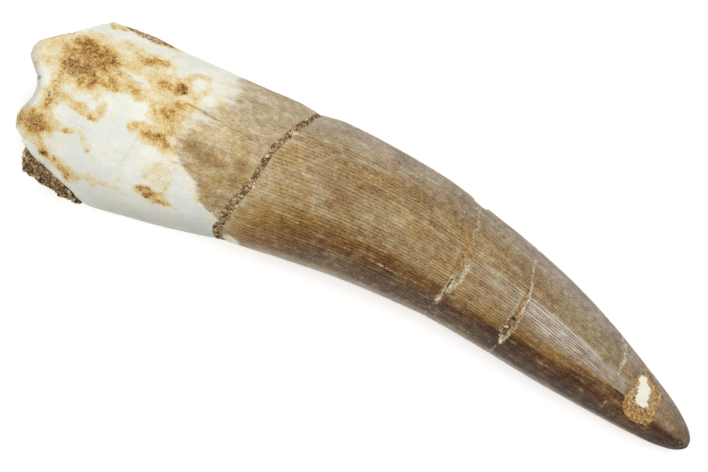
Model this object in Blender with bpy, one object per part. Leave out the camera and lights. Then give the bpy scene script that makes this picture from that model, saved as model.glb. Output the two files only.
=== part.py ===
"""Fossil plesiosaur tooth, lying on its side as it rests on a table.

The tooth is one grown piece: a pale root whose end is broken off raggedly, and a brown, ridged,
gently curved crown with a blunt worn tip. Two bodies of sandy rock are stuck to it: the core that
fills the root's hollow and stands in for the lost wall on one side, and the sand that fills the
break which runs slantwise round the tooth.

Frame: metres, +Z up, +X from root to tip along the chord, +Y towards the convex side of the curve.
The origin is the middle of the tooth's box, on the surface that it rests on.
"""

import bmesh
import bpy
import numpy as np

COLLECTION = "fossil plesiosaur tooth"

# Lengths in this file are millimetres, and MM makes them Blender's metres.
MM = 0.001

# Places along the tooth (x) run from the broken root end to the tip, and places across it (y) from
# the chord's line. MIDDLE is the middle of the box in those, which becomes the origin.
MIDDLE_X, MIDDLE_Y = 26.25, 3.05
TIP_X = 53.5

# The tooth's centre line seen from above: (x, y).
AXIS_LINE = [
    (-1.5, 2.6), (3.0, 2.62), (7.0, 2.7), (10.0, 3.0), (14.0, 3.57), (18.0, 4.08), (22.5, 4.55),
    (26.0, 4.71), (29.5, 4.66), (33.0, 4.37), (38.0, 3.63), (43.0, 2.6), (48.0, 1.44), (53.5, 0.1),
]
# Half the tooth's width seen from above, before the tip is rounded off: (x, half width).
HALF_WIDTH = [
    (-1.5, 5.7), (3.0, 6.12), (5.0, 6.35), (7.0, 6.42), (9.0, 6.28), (12.0, 6.03), (16.0, 5.65),
    (22.5, 5.3), (26.0, 5.05), (29.5, 4.8), (33.0, 4.4), (38.0, 3.98), (41.5, 3.58), (45.0, 3.0),
    (48.0, 2.38), (50.0, 1.93), (52.0, 1.42), (53.5, 1.2),
]
# The tooth is a little flatter than round: (x, height over width).
FLATNESS = [(-1.5, 0.8), (10.0, 0.82), (25.0, 0.88), (53.5, 0.94)]
TIP_ROUNDING, TIP_TURNS = 2.4, (0, 24, 44, 60, 74, 84)
# The underside is worn level by this much where it is lowest, which gives the faces it rests on.
WORN_LEVEL = 0.12
# It touches the table under the root and under the middle of the crown, and is clear of it
# elsewhere: (x, clearance).
CLEARANCE = [
    (-1.5, 0.0), (9.0, 0.0), (15.0, 0.3), (21.5, 0.0), (31.0, 0.0), (38.0, 0.3), (46.0, 0.7),
    (53.5, 1.2),
]

# Angles go round a section in degrees: 0 on top, 90 on the convex side, 180 underneath.
SECTION_STEPS = 80
# Rings of points lie at these shares of each stretch of the tooth.
HOLLOW_RINGS = (0.03, 0.12, 0.3, 0.6, 1.0)
ROOT_RINGS = (0.1, 0.25, 0.42, 0.6, 0.78, 0.92)
CROWN_RINGS = (0.12, 0.25, 0.38, 0.5, 0.62, 0.75, 0.88)
CRACKED_RINGS = (0.33, 0.67)
LAST_RINGS = (0.25, 0.5, 0.75)

# The broken root end: (angle, x of the wall's crest). The wall is lost from -50 to -150 degrees.
ROOT_CREST = [
    (-165, 1.9), (-150, 2.6), (-135, 3.8), (-120, 5.2), (-105, 6.3), (-90, 6.6), (-81, 6.3),
    (-75, 6.0), (-67, 5.4), (-62, 4.4), (-56, 2.4), (-50, 1.5), (-45, 0.9), (-40, 0.2), (-34, 0.1),
    (-26, 0.2), (-15, 0.4), (-4, 0.5), (3, 0.4), (12, -0.4), (20, -0.8), (27, -1.0), (38, 0.0),
    (48, 1.0), (60, 2.0), (72, 2.6), (90, 3.0), (110, 2.8), (130, 2.2), (150, 1.6), (165, 1.3),
    (180, 1.5),
]
# How far the wall's outer edge is bevelled back from the crest: (angle, length).
ROOT_BEVEL = [(-90, 0.15), (-50, 0.15), (-30, 0.6), (30, 0.7), (60, 0.3), (120, 0.3), (180, 0.3)]
CREST_SHARE = 0.88
# The root's hollow: a bullet shape, as a share of the section, from just inside the crest to its end.
HOLLOW_SHARE, HOLLOW_LIP, HOLLOW_END = 0.7, 0.4, 10.5

# The sandy core in the hollow, held clear of the wall.
CORE_SHARE, CORE_END = 0.675, 10.1
CORE_CLEARANCE = 0.15
CORE_PROUD = 0.08
CORE_STEPS = 48
CORE_INNER_RINGS = (0.04, 0.18, 0.45, 0.75, 1.0)
CORE_SIDE_RINGS = (1.0, 0.8, 0.6, 0.4, 0.2, 0.0)
CORE_FACE_RINGS = (0.84, 0.64, 0.42, 0.2)
# Where the wall is lost the core reaches the tooth's surface: (angle, 0 inside to 1 at the surface).
CORE_REACH = [(-180, 0.0), (-142, 0.0), (-124, 1.0), (-58, 1.0), (-50, 0.0), (180, 0.0)]
# The core's broken end: (angle, x at its outer edge), how far its middle bulges out, and how far
# it goes in before it turns to run along the wall.
CORE_FACE = [
    (-180, 1.9), (-120, 2.4), (-90, 2.5), (-78, 2.2), (-58, 1.75), (-50, 1.6), (0, 1.9), (90, 1.7),
]
CORE_BULGE, CORE_TURN = 0.3, 0.6
# Lumps of the core's rock: their height, and the waves that they are made of.
LUMP_HEIGHT, LUMP_WAVES, LUMP_LENGTHS, LUMP_SEED = 0.6, 12, (1.0, 2.6), 7

# The break that runs slantwise round the tooth: (angle, x of its middle) and (angle, full width).
BREAK_LINE = [
    (-180, 17.9), (-160, 17.2), (-135, 16.7), (-110, 16.4), (-90, 16.2), (-68, 15.8), (-58, 15.75),
    (-47, 16.0), (-37, 16.1), (-29, 16.3), (-18, 16.8), (-4, 17.15), (12, 17.45), (24, 17.85),
    (32, 18.25), (46, 18.8), (55, 19.2), (75, 19.75), (90, 19.9), (110, 19.8), (135, 19.3), (160, 18.6),
]
BREAK_WIDTH = [(-135, 0.5), (-60, 0.65), (-20, 0.62), (-4, 0.44), (45, 0.46), (75, 0.4), (135, 0.42)]
BREAK_DEPTH = 0.6
# Both sides are worn down towards the break, most of all on the convex side: (angle, depth).
BREAK_WEAR = [(-90, 0.08), (0, 0.06), (60, 0.1), (90, 0.2), (120, 0.1), (180, 0.06)]
BREAK_WEAR_LENGTH = 1.8
# The sand in the break is clear of its walls and lies just below the tooth's surface.
SAND_CLEARANCE, SAND_SINK = 0.05, 0.06
SAND_ROUGHNESS, SAND_SEED = 0.04, 11

# Two open cracks across the crown: (angle, x), (angle, depth), and half the width.
FIRST_CRACK_LINE = [
    (-180, 32.6), (-90, 32.85), (-41, 32.9), (-18, 33.05), (-5, 33.05), (5, 32.8), (21, 32.85),
    (36, 32.55), (90, 32.1), (180, 32.6),
]
FIRST_CRACK_DEPTH = [(-90, 0.04), (-60, 0.1), (-35, 0.28), (5, 0.3), (25, 0.08), (90, 0.05)]
FIRST_CRACK_HALF = 0.36
SECOND_CRACK_LINE = [
    (-180, 38.0), (-90, 38.4), (-38, 38.4), (-15, 38.28), (-2, 38.22), (12, 38.15), (28, 37.8),
    (44, 37.2), (90, 36.9), (180, 37.5),
]
SECOND_CRACK_DEPTH = [(-90, 0.04), (-52, 0.12), (-38, 0.26), (10, 0.28), (22, 0.08), (90, 0.05)]
SECOND_CRACK_HALF, SECOND_CRACK_FLOOR = 0.26, 0.09

# Fine ridges run along the crown, and fade in on the root and out at the tip.
RIDGE_HEIGHT = 0.12
RIDGE_FADE_IN, RIDGE_FADE_OUT = (12.0, 20.0), (53.0, 49.0)

# A flake lost from the convex edge just before the first crack, and a chip in the enamel at the tip.
FLAKE_X, FLAKE_ANGLE, FLAKE_LENGTH, FLAKE_SPREAD, FLAKE_DEPTH = 31.9, 88.0, 0.7, 24.0, 0.14
CHIP_X, CHIP_ANGLE, CHIP_LENGTH, CHIP_SPREAD, CHIP_DEPTH = 48.95, 7.0, 1.25, 48.0, 0.22
DENT_FLOOR = 0.45
# A smooth surface is shaded sharp where it turns by more than this, in degrees.
SHARP_ANGLE = 30

LOOKS = {
    "tooth": ((0.36, 0.26, 0.15), 0.42),
    "root_matrix_core": ((0.3, 0.21, 0.11), 0.95),
    "break_sand": ((0.32, 0.21, 0.11), 0.95),
}


def along(points, x):
    """The smooth curve through (place, value) points, read at x: cubic pieces whose slope at each
    point is that of its neighbours."""
    place, value = np.array(points, float).T
    slope = np.gradient(value, place)
    x = np.clip(x, place[0], place[-1])
    i = np.clip(np.searchsorted(place, x) - 1, 0, len(place) - 2)
    gap = place[i + 1] - place[i]
    t = (x - place[i]) / gap
    start = value[i] * (1 + 2 * t) * (1 - t) ** 2 + slope[i] * gap * t * (1 - t) ** 2
    end = value[i + 1] * t**2 * (3 - 2 * t) + slope[i + 1] * gap * t**2 * (t - 1)
    return start + end


def around(points, angle):
    """(angle, value) points read at each angle, in straight runs that join up round the tooth."""
    place, value = np.array(points, float).T
    return np.interp(angle, place, value, period=360)


def fade(start, end, x):
    """0 at start, 1 at end, and a smooth rise between them. It may run either way."""
    t = np.clip((x - start) / (end - start), 0, 1)
    return t * t * (3 - 2 * t)


def angles(steps):
    """Evenly spaced angles round a section, in degrees."""
    return np.arange(steps) * 360 / steps - 180


def turned(angle, middle):
    """The angle counted from middle, from -180 to 180."""
    return (angle - middle + 180) % 360 - 180


def section(x, angle, share=1.0, lift=0.0):
    """Points round the tooth at x, one for each angle.

    The section is an ellipse across the centre line, drawn in to a share of its size, then grown
    by lift. Its middle is as high as its underside needs to touch the table, and what would reach
    below the table is worn level with it.
    """
    x = np.broadcast_to(np.asarray(x, float), angle.shape)
    nearby = 0.1
    slope = (along(AXIS_LINE, x + nearby) - along(AXIS_LINE, x - nearby)) / (2 * nearby)
    normal = np.stack([-slope, np.ones_like(slope)]) / np.hypot(slope, 1)
    width = along(HALF_WIDTH, x)
    height = width * along(FLATNESS, x)
    past = np.clip((x - TIP_X + TIP_ROUNDING) / TIP_ROUNDING, 0, 1)
    rounding = np.sqrt(1 - past**2)
    turn = np.radians(angle)
    across = (width * rounding * share + lift) * np.sin(turn)
    up = (height * rounding * share + lift) * np.cos(turn)
    return np.stack(
        [
            x + across * normal[0] - MIDDLE_X,
            along(AXIS_LINE, x) + across * normal[1] - MIDDLE_Y,
            np.maximum(height - WORN_LEVEL + along(CLEARANCE, x) + up, 0),
        ],
        axis=-1,
    )


def ridges(x, angle):
    """Height of the crown's ridges: every other step round the section is a crest."""
    crest = np.where(np.arange(len(angle)) % 2, -0.5, 0.5)
    return RIDGE_HEIGHT * crest * fade(*RIDGE_FADE_IN, x) * fade(*RIDGE_FADE_OUT, x)


def dent(x, angle, middle_x, middle_angle, length, spread, depth):
    """A shallow round hollow, deepest at its middle."""
    far = np.hypot((x - middle_x) / length, turned(angle, middle_angle) / spread)
    return -depth * fade(1.0, DENT_FLOOR, far)


def break_wear(x, angle):
    """The worn edges of the break: the surface dips towards it from both sides."""
    from_break = np.abs(x - around(BREAK_LINE, angle))
    return -around(BREAK_WEAR, angle) * fade(BREAK_WEAR_LENGTH, 0, from_break)


def outside(x, angle, lift=0.0):
    """A ring of the tooth's outer surface with its ridges, flake, chip and worn break."""
    lift = lift + ridges(x, angle) + break_wear(x, angle)
    lift = lift + dent(x, angle, FLAKE_X, FLAKE_ANGLE, FLAKE_LENGTH, FLAKE_SPREAD, FLAKE_DEPTH)
    lift = lift + dent(x, angle, CHIP_X, CHIP_ANGLE, CHIP_LENGTH, CHIP_SPREAD, CHIP_DEPTH)
    return section(x, angle, lift=lift)


def between(start, end, angle, shares):
    """Outer rings that pass evenly from the line start to the line end, at the shares given."""
    return [outside(start + (end - start) * share, angle) for share in shares]


def bullet(x, full_share, end):
    """The share of the section that the root's hollow or its core takes up at x."""
    return full_share * np.sqrt(np.clip(1 - (np.maximum(x, 0) / end) ** 2, 0, 1))


def middle_point(x):
    """The centre of the section at x."""
    return section(x, np.zeros(1), share=0.0)[0]


def new_part(name, points, faces):
    """Adds one closed mesh object with its own material to the tooth's collection."""
    mesh = bpy.data.meshes.new(name)
    mesh.from_pydata((points * MM).tolist(), [], faces)
    cleaned = bmesh.new()
    cleaned.from_mesh(mesh)
    bmesh.ops.triangulate(cleaned, faces=cleaned.faces)
    bmesh.ops.recalc_face_normals(cleaned, faces=cleaned.faces)
    cleaned.to_mesh(mesh)
    cleaned.free()
    mesh.shade_smooth()
    mesh.set_sharp_from_angle(angle=np.radians(SHARP_ANGLE))

    colour, roughness = LOOKS[name]
    material = bpy.data.materials.new(name)
    material.use_nodes = True
    shader = material.node_tree.nodes["Principled BSDF"]
    shader.inputs["Base Color"].default_value = (*colour, 1)
    shader.inputs["Roughness"].default_value = roughness
    shader.inputs["Metallic"].default_value = 0
    mesh.materials.append(material)
    bpy.data.collections[COLLECTION].objects.link(bpy.data.objects.new(name, mesh))


def skin(rings, closed):
    """The quads between each ring and the next, and with closed set between the last and first."""
    steps = len(rings[0])
    quads = []
    for row in range(len(rings) - (0 if closed else 1)):
        below, above = row * steps, (row + 1) % len(rings) * steps
        for i in range(steps):
            j = (i + 1) % steps
            quads.append((below + i, below + j, above + j, above + i))
    return quads


def loft(name, start, rings, end):
    """A solid whose skin runs from the point start through the rings to the point end."""
    steps = len(rings[0])
    points = np.concatenate([*rings, [start, end]])
    first, last = len(points) - 2, len(points) - 1
    top = (len(rings) - 1) * steps
    faces = skin(rings, closed=False)
    for i in range(steps):
        j = (i + 1) % steps
        faces.append((first, j, i))
        faces.append((last, top + i, top + j))
    new_part(name, points, faces)


def make_tooth():
    """The whole tooth: hollow, broken root end, root, break, crown, cracks and tip."""
    angle = angles(SECTION_STEPS)
    crest = around(ROOT_CREST, angle)
    edge = crest + around(ROOT_BEVEL, angle)
    lip = crest + HOLLOW_LIP

    rings = []
    for share in HOLLOW_RINGS:
        x = HOLLOW_END + (lip - HOLLOW_END) * share
        rings.append(section(x, angle, share=bullet(x, HOLLOW_SHARE, HOLLOW_END)))
    rings.append(section(crest, angle, share=CREST_SHARE))
    rings.append(outside(edge, angle))

    middle, half = around(BREAK_LINE, angle), around(BREAK_WIDTH, angle) / 2
    near_side, far_side = middle - half, middle + half
    rings += between(edge, near_side, angle, ROOT_RINGS)
    rings.append(outside(near_side, angle))
    rings.append(outside(near_side, angle, -BREAK_DEPTH))
    rings.append(outside(far_side, angle, -BREAK_DEPTH))
    rings.append(outside(far_side, angle))

    first = around(FIRST_CRACK_LINE, angle)
    rings += between(far_side, first - FIRST_CRACK_HALF, angle, CROWN_RINGS)
    rings.append(outside(first - FIRST_CRACK_HALF, angle))
    rings.append(outside(first, angle, -around(FIRST_CRACK_DEPTH, angle)))
    rings.append(outside(first + FIRST_CRACK_HALF, angle))

    second = around(SECOND_CRACK_LINE, angle)
    start, end = first + FIRST_CRACK_HALF, second - SECOND_CRACK_HALF
    rings += between(start, end, angle, CRACKED_RINGS)
    rings.append(outside(end, angle))
    for side in (-SECOND_CRACK_FLOOR, SECOND_CRACK_FLOOR):
        rings.append(outside(second + side, angle, -around(SECOND_CRACK_DEPTH, angle)))
    rings.append(outside(second + SECOND_CRACK_HALF, angle))

    start, chip = second + SECOND_CRACK_HALF, CHIP_X + CHIP_LENGTH * np.array([-1, -0.5, 0, 0.5, 1])
    rings += between(start, chip[0], angle, LAST_RINGS)
    tip = TIP_X - TIP_ROUNDING * (1 - np.sin(np.radians(TIP_TURNS)))
    for x in (*chip, *tip):
        rings.append(outside(np.full(SECTION_STEPS, x), angle))
    loft("tooth", middle_point(HOLLOW_END), rings, middle_point(TIP_X))


def lumps(points):
    """Height of the rock's lumps at the points: seeded waves that cross one another."""
    rough = np.random.default_rng(LUMP_SEED)
    waves = rough.normal(size=(LUMP_WAVES, 3))
    lengths = rough.uniform(*LUMP_LENGTHS, size=(LUMP_WAVES, 1))
    waves *= 2 * np.pi / lengths / np.linalg.norm(waves, axis=1, keepdims=True)
    return LUMP_HEIGHT * np.sin(points @ waves.T + rough.uniform(0, 6, LUMP_WAVES)).mean(axis=1)


def make_core():
    """The sandy core: it fills the hollow, and where the wall is lost it comes out to the surface."""
    angle = angles(CORE_STEPS)
    reach = around(CORE_REACH, angle)
    face = around(CORE_FACE, angle)
    shoulder = np.where(reach > 0, around(ROOT_CREST, angle) - CORE_CLEARANCE, face + CORE_TURN / 2)
    inner_end = np.maximum(shoulder + CORE_TURN / 2, face + CORE_TURN)

    rings = []
    for share in CORE_INNER_RINGS:
        x = CORE_END + (inner_end - CORE_END) * share
        rings.append(section(x, angle, share=bullet(x, CORE_SHARE, CORE_END)))
    for share in CORE_SIDE_RINGS:
        x = face + (shoulder - face) * share
        inner = bullet(x, CORE_SHARE, CORE_END)
        outer = inner + (1.0 - inner) * reach
        smooth = section(x, angle, share=outer)
        proud = reach * (CORE_PROUD * (1 - share) + lumps(smooth))
        rings.append(section(x, angle, share=outer, lift=proud))
    for share in CORE_FACE_RINGS:
        flat = section(face, angle, share=outer * share)
        bulge = lumps(flat) - CORE_BULGE * (1 - share)
        rings.append(section(face + bulge, angle, share=outer * share))
    loft("root_matrix_core", middle_point(CORE_END), rings, middle_point(np.mean(face) - CORE_BULGE))


def make_break_sand():
    """The ring of sand that fills the slanting break, rough on its outer face."""
    rough = np.random.default_rng(SAND_SEED)
    angle = angles(SECTION_STEPS)
    middle = around(BREAK_LINE, angle)
    half = around(BREAK_WIDTH, angle) / 2 - SAND_CLEARANCE
    floor = SAND_CLEARANCE - BREAK_DEPTH
    top = break_wear(middle, angle) - SAND_SINK
    rings = [section(middle - half, angle, lift=np.full(SECTION_STEPS, floor))]
    for side in (-1.0, 0.0, 1.0):
        grains = rough.uniform(-SAND_ROUGHNESS, 0, SECTION_STEPS)
        rings.append(section(middle + side * half, angle, lift=top + grains))
    rings.append(section(middle + half, angle, lift=np.full(SECTION_STEPS, floor)))
    new_part("break_sand", np.concatenate(rings), skin(rings, closed=True))


def main():
    """Clears the scene and builds the tooth, its core and the sand in its break."""
    for old in list(bpy.data.objects):
        bpy.data.objects.remove(old)
    bpy.context.scene.collection.children.link(bpy.data.collections.new(COLLECTION))
    make_tooth()
    make_core()
    make_break_sand()


main()
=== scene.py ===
"""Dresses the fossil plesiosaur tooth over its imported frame.

The tooth lies on a white table, seen from straight above. Its CAD solids give the main form, and the
pieces made here repeat that form with what is too fine for solids: the enamel's striae, the grain of
the broken sand and rock, hairline cracks, stains and the worn chip at the tip.

Lengths are millimetres until they go into a mesh. A place on the tooth is (x, angle): x runs along
the chord from the broken root to the tip, and angles go round a section in degrees, 0 on top and 90
on the convex side. A place seen from above is (x, y), where y counts across from the chord's line.
"""

import logging
from dataclasses import dataclass
from enum import Enum
from typing import Sequence

import bpy
import numpy as np
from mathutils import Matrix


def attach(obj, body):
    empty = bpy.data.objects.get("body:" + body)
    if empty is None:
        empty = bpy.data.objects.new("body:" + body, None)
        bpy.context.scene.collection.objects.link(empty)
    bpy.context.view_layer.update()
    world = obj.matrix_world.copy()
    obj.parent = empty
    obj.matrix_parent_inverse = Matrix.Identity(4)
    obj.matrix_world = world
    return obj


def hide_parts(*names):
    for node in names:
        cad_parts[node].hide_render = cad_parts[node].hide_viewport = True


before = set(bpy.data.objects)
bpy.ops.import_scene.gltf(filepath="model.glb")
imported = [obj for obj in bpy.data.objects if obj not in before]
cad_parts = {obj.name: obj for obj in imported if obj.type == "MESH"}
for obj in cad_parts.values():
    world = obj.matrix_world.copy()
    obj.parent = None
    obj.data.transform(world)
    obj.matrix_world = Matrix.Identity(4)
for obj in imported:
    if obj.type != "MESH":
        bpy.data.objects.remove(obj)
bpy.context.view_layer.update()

LOG = logging.getLogger("tooth")
MM = 0.001
Array = np.ndarray
Pairs = Sequence[tuple[float, float]]


# ---------------------------------------------------------------------------------------------
# Sums that the pieces share


def along(points: Pairs, x: Array) -> Array:
    """Reads the smooth curve through (place, value) points at x.

    Each piece is the cubic whose slopes at its two points are those of their neighbours.

    Args:
        points: places in rising order, each with its value.
        x: places to read at, held to the curve's ends.

    Returns:
        The curve's value at each x.
    """
    place, value = np.array(points, float).T
    slope = np.gradient(value, place)
    x = np.clip(x, place[0], place[-1])
    i = np.clip(np.searchsorted(place, x) - 1, 0, len(place) - 2)
    gap = place[i + 1] - place[i]
    t = (x - place[i]) / gap
    start = value[i] * (1 + 2 * t) * (1 - t) ** 2 + slope[i] * gap * t * (1 - t) ** 2
    end = value[i + 1] * t**2 * (3 - 2 * t) + slope[i + 1] * gap * t**2 * (t - 1)
    return start + end


def around(points: Pairs, angle: Array) -> Array:
    """Reads (angle, value) points in straight runs that join up round the tooth.

    Args:
        points: angles in degrees, each with its value.
        angle: angles to read at.

    Returns:
        The value at each angle.
    """
    place, value = np.array(points, float).T
    return np.interp(angle, place, value, period=360)


def fade(start: float, end: float, x: Array) -> Array:
    """Rises smoothly from 0 at start to 1 at end, as 3t^2 - 2t^3, and may run either way.

    Args:
        start: where it is 0.
        end: where it is 1.
        x: places to read at.

    Returns:
        The share at each x.
    """
    t = np.clip((x - start) / (end - start), 0, 1)
    return t * t * (3 - 2 * t)


def turned(angle: Array, middle: float) -> Array:
    """The angle counted from middle, from -180 to 180."""
    return (angle - middle + 180) % 360 - 180


def ring(angle: Array, radius: float, x: float = 0.0) -> Array:
    """Points on a circle, for noise that closes round the tooth. x tells two such circles apart."""
    turn = np.radians(angle)
    return np.stack([radius * np.cos(turn), radius * np.sin(turn), np.full_like(turn, x)], axis=-1)


def either(first: Array, second: Array) -> Array:
    """Joins two shares so that each shows where the other doesn't: 1 - (1 - a)(1 - b)."""
    return 1 - (1 - first) * (1 - np.clip(second, 0, 1))


def rough(points: Array, size: float, seed: int, layers: int = 2) -> Array:
    """Smooth seeded noise in space.

    Random values stand at the corners of a cubic lattice and are blended between them by
    3t^2 - 2t^3. Each further layer is half as large and half as strong.

    Args:
        points: an array whose last axis is x, y, z.
        size: the lattice's step, in the points' unit.
        seed: which noise it is.
        layers: how many layers are added up.

    Returns:
        Values from -1 to 1, one for each point.
    """
    table = np.random.default_rng(seed).uniform(-1, 1, 4096)
    place, strength, total = points / size, 1.0, np.zeros(points.shape[:-1])
    for _ in range(layers):
        low = np.floor(place).astype(np.int64)
        t = place - low
        t = t * t * (3 - 2 * t)
        for corner in range(8):
            step = np.array([corner & 1, corner >> 1 & 1, corner >> 2])
            key = np.bitwise_xor.reduce((low + step) * (73856093, 19349663, 83492791), axis=-1)
            total += strength * table[key & 4095] * np.prod(np.where(step, t, 1 - t), axis=-1)
        place, strength = place * 2 + 17.3, strength / 2
    return total / (2 - 2 * strength)


def paint(red: float, green: float, blue: float) -> tuple[float, float, float, float]:
    """Turns a colour as it looks on screen into the shader's linear numbers.

    Args:
        red: from 0 to 255, as are green and blue.
        green: the same.
        blue: the same.

    Returns:
        Red, green, blue and an alpha of 1.
    """
    c = np.array([red, green, blue]) / 255
    linear = np.where(c <= 0.04045, c / 12.92, ((c + 0.055) / 1.055) ** 2.4)
    return (*linear.tolist(), 1.0)


def stops(*entries: tuple[float, float, float, float]) -> tuple:
    """A ramp's stops from (place, red, green, blue), with colours as they look on screen."""
    return tuple((place, paint(*colour)) for place, *colour in entries)


# ---------------------------------------------------------------------------------------------
# Meshes


def new_piece(name: str, points: Array, faces: list, marks: dict[str, Array]) -> bpy.types.Object:
    """Makes a smooth mesh piece at the origin that rides on the tooth.

    Args:
        name: the piece's name.
        points: its points in millimetres, one row each.
        faces: corner numbers of each face, turned to face outwards.
        marks: values kept at the points, by attribute name: one number or three for each.

    Returns:
        The new object.
    """
    mesh = bpy.data.meshes.new(name)
    mesh.from_pydata((points * MM).tolist(), [], faces)
    for key, values in marks.items():
        kind, entry = ("FLOAT_VECTOR", "vector") if values.ndim == 2 else ("FLOAT", "value")
        attribute = mesh.attributes.new(key, kind, "POINT")
        attribute.data.foreach_set(entry, values.astype(np.float32).ravel())
    mesh.shade_smooth()
    piece = bpy.data.objects.new(name, mesh)
    bpy.context.scene.collection.objects.link(piece)
    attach(piece, "root")
    return piece


def tube_faces(rows: int, columns: int, ends: bool) -> list:
    """Faces of a grid whose columns close round it.

    Args:
        rows: rows of points, in the order that they lie along the tube.
        columns: points in each row.
        ends: True to close both ends on two more points, which follow the grid's. False to join
            the last row to the first.

    Returns:
        Corner numbers of each face.
    """
    here = np.arange(rows * columns).reshape(rows, columns)
    right = np.roll(here, -1, axis=1)
    above, above_right = np.roll(here, -1, axis=0), np.roll(right, -1, axis=0)
    quads = np.stack([here, above, above_right, right], axis=-1)
    if not ends:
        return quads.reshape(-1, 4).tolist()
    first, last = np.full(columns, rows * columns), np.full(columns, rows * columns + 1)
    start = np.stack([first, here[0], right[0]], axis=-1)
    end = np.stack([last, right[-1], here[-1]], axis=-1)
    return quads[:-1].reshape(-1, 4).tolist() + start.tolist() + end.tolist()


def pebble() -> tuple[Array, Array]:
    """A round pebble of 18 points and 32 faces.

    It is an octahedron whose faces are each cut in four, with all points pushed out to a sphere.

    Returns:
        The points, and the corner numbers of each face.
    """
    points = [np.array(p, float) for p in np.vstack([np.eye(3), -np.eye(3)])]
    middles: dict[tuple[int, int], int] = {}

    def middle(a: int, b: int) -> int:
        """The number of the point halfway between a and b."""
        key = (min(a, b), max(a, b))
        if key not in middles:
            middles[key] = len(points)
            half = points[a] + points[b]
            points.append(half / np.linalg.norm(half))
        return middles[key]

    faces = []
    for x in (0, 3):
        for y in (1, 4):
            for z in (2, 5):
                a, b, c = (x, y, z) if np.linalg.det([points[i] for i in (x, y, z)]) > 0 else (x, z, y)
                ab, bc, ca = middle(a, b), middle(b, c), middle(c, a)
                faces += [(a, ab, ca), (ab, b, bc), (ca, bc, c), (ab, bc, ca)]
    return np.array(points), np.array(faces)


@dataclass
class Grains:
    """Many sand grains joined in one mesh. Each is a pebble with its own size, turn and tint."""

    seed: int
    flat: float = 0.25

    def __post_init__(self) -> None:
        """Starts the grains' own chance."""
        self.chance = np.random.default_rng(self.seed)
        self.points: list[Array] = []
        self.tints: list[Array] = []

    def lay(self, centres: Array, radius: Array, tint: Array | None = None) -> None:
        """Adds a grain at each centre.

        A grain is the pebble stretched differently along three axes, turned at random by a
        quaternion, scaled to its radius and moved to its centre.

        Args:
            centres: the grains' middles in millimetres.
            radius: one radius for each grain.
            tint: 0 dark to 1 pale for each grain, or None for a random mix.
        """
        count = len(centres)
        shape, _ = pebble()
        stretch = 1 + self.flat * self.chance.uniform(-1, 1, (count, 1, 3))
        bumps = 1 + 0.14 * self.chance.uniform(-1, 1, (count, len(shape), 1))
        a, b, c, d = (q := self.chance.normal(size=(4, count))) / np.linalg.norm(q, axis=0)
        turn = np.stack(
            [
                1 - 2 * (c * c + d * d), 2 * (b * c - a * d), 2 * (b * d + a * c),
                2 * (b * c + a * d), 1 - 2 * (b * b + d * d), 2 * (c * d - a * b),
                2 * (b * d - a * c), 2 * (c * d + a * b), 1 - 2 * (b * b + c * c),
            ],
            axis=-1,
        ).reshape(count, 3, 3)
        local = (shape * stretch * bumps) @ turn.transpose(0, 2, 1)
        self.points.append(centres[:, None] + local * radius[:, None, None])
        tint = self.chance.uniform(0, 1, count) if tint is None else tint
        self.tints.append(np.repeat(tint, len(shape)))

    def scatter(
        self, centres: Array, gap: float, radii: Sequence[float], tints: Sequence[float] = ()
    ) -> None:
        """Adds spaced grains of random size.

        Args:
            centres: places to choose from.
            gap: the side of the cubes that hold one grain each.
            radii: the smallest and the largest radius.
            tints: the darkest and the palest tint, or nothing for a random mix.
        """
        kept = centres[spaced(centres, gap)]
        radius = self.chance.uniform(*radii, len(kept))
        self.lay(kept, radius, self.chance.uniform(*tints, len(kept)) if tints else None)

    def piece(self, name: str) -> bpy.types.Object:
        """Makes the mesh of all grains so far.

        Args:
            name: the piece's name.

        Returns:
            The new object.
        """
        points = np.concatenate(self.points)
        _, faces = pebble()
        first = np.arange(len(points))[:, None, None] * points.shape[1]
        numbers = (faces + first).reshape(-1, 3).tolist()
        return new_piece(name, points.reshape(-1, 3), numbers, {"tint": np.concatenate(self.tints)})


def spaced(points: Array, gap: float) -> Array:
    """Numbers of the points that stay when each cube of side gap keeps only its first one."""
    return np.unique(np.floor(points / gap).astype(int), axis=0, return_index=True)[1]


# ---------------------------------------------------------------------------------------------
# The tooth's form


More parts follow.
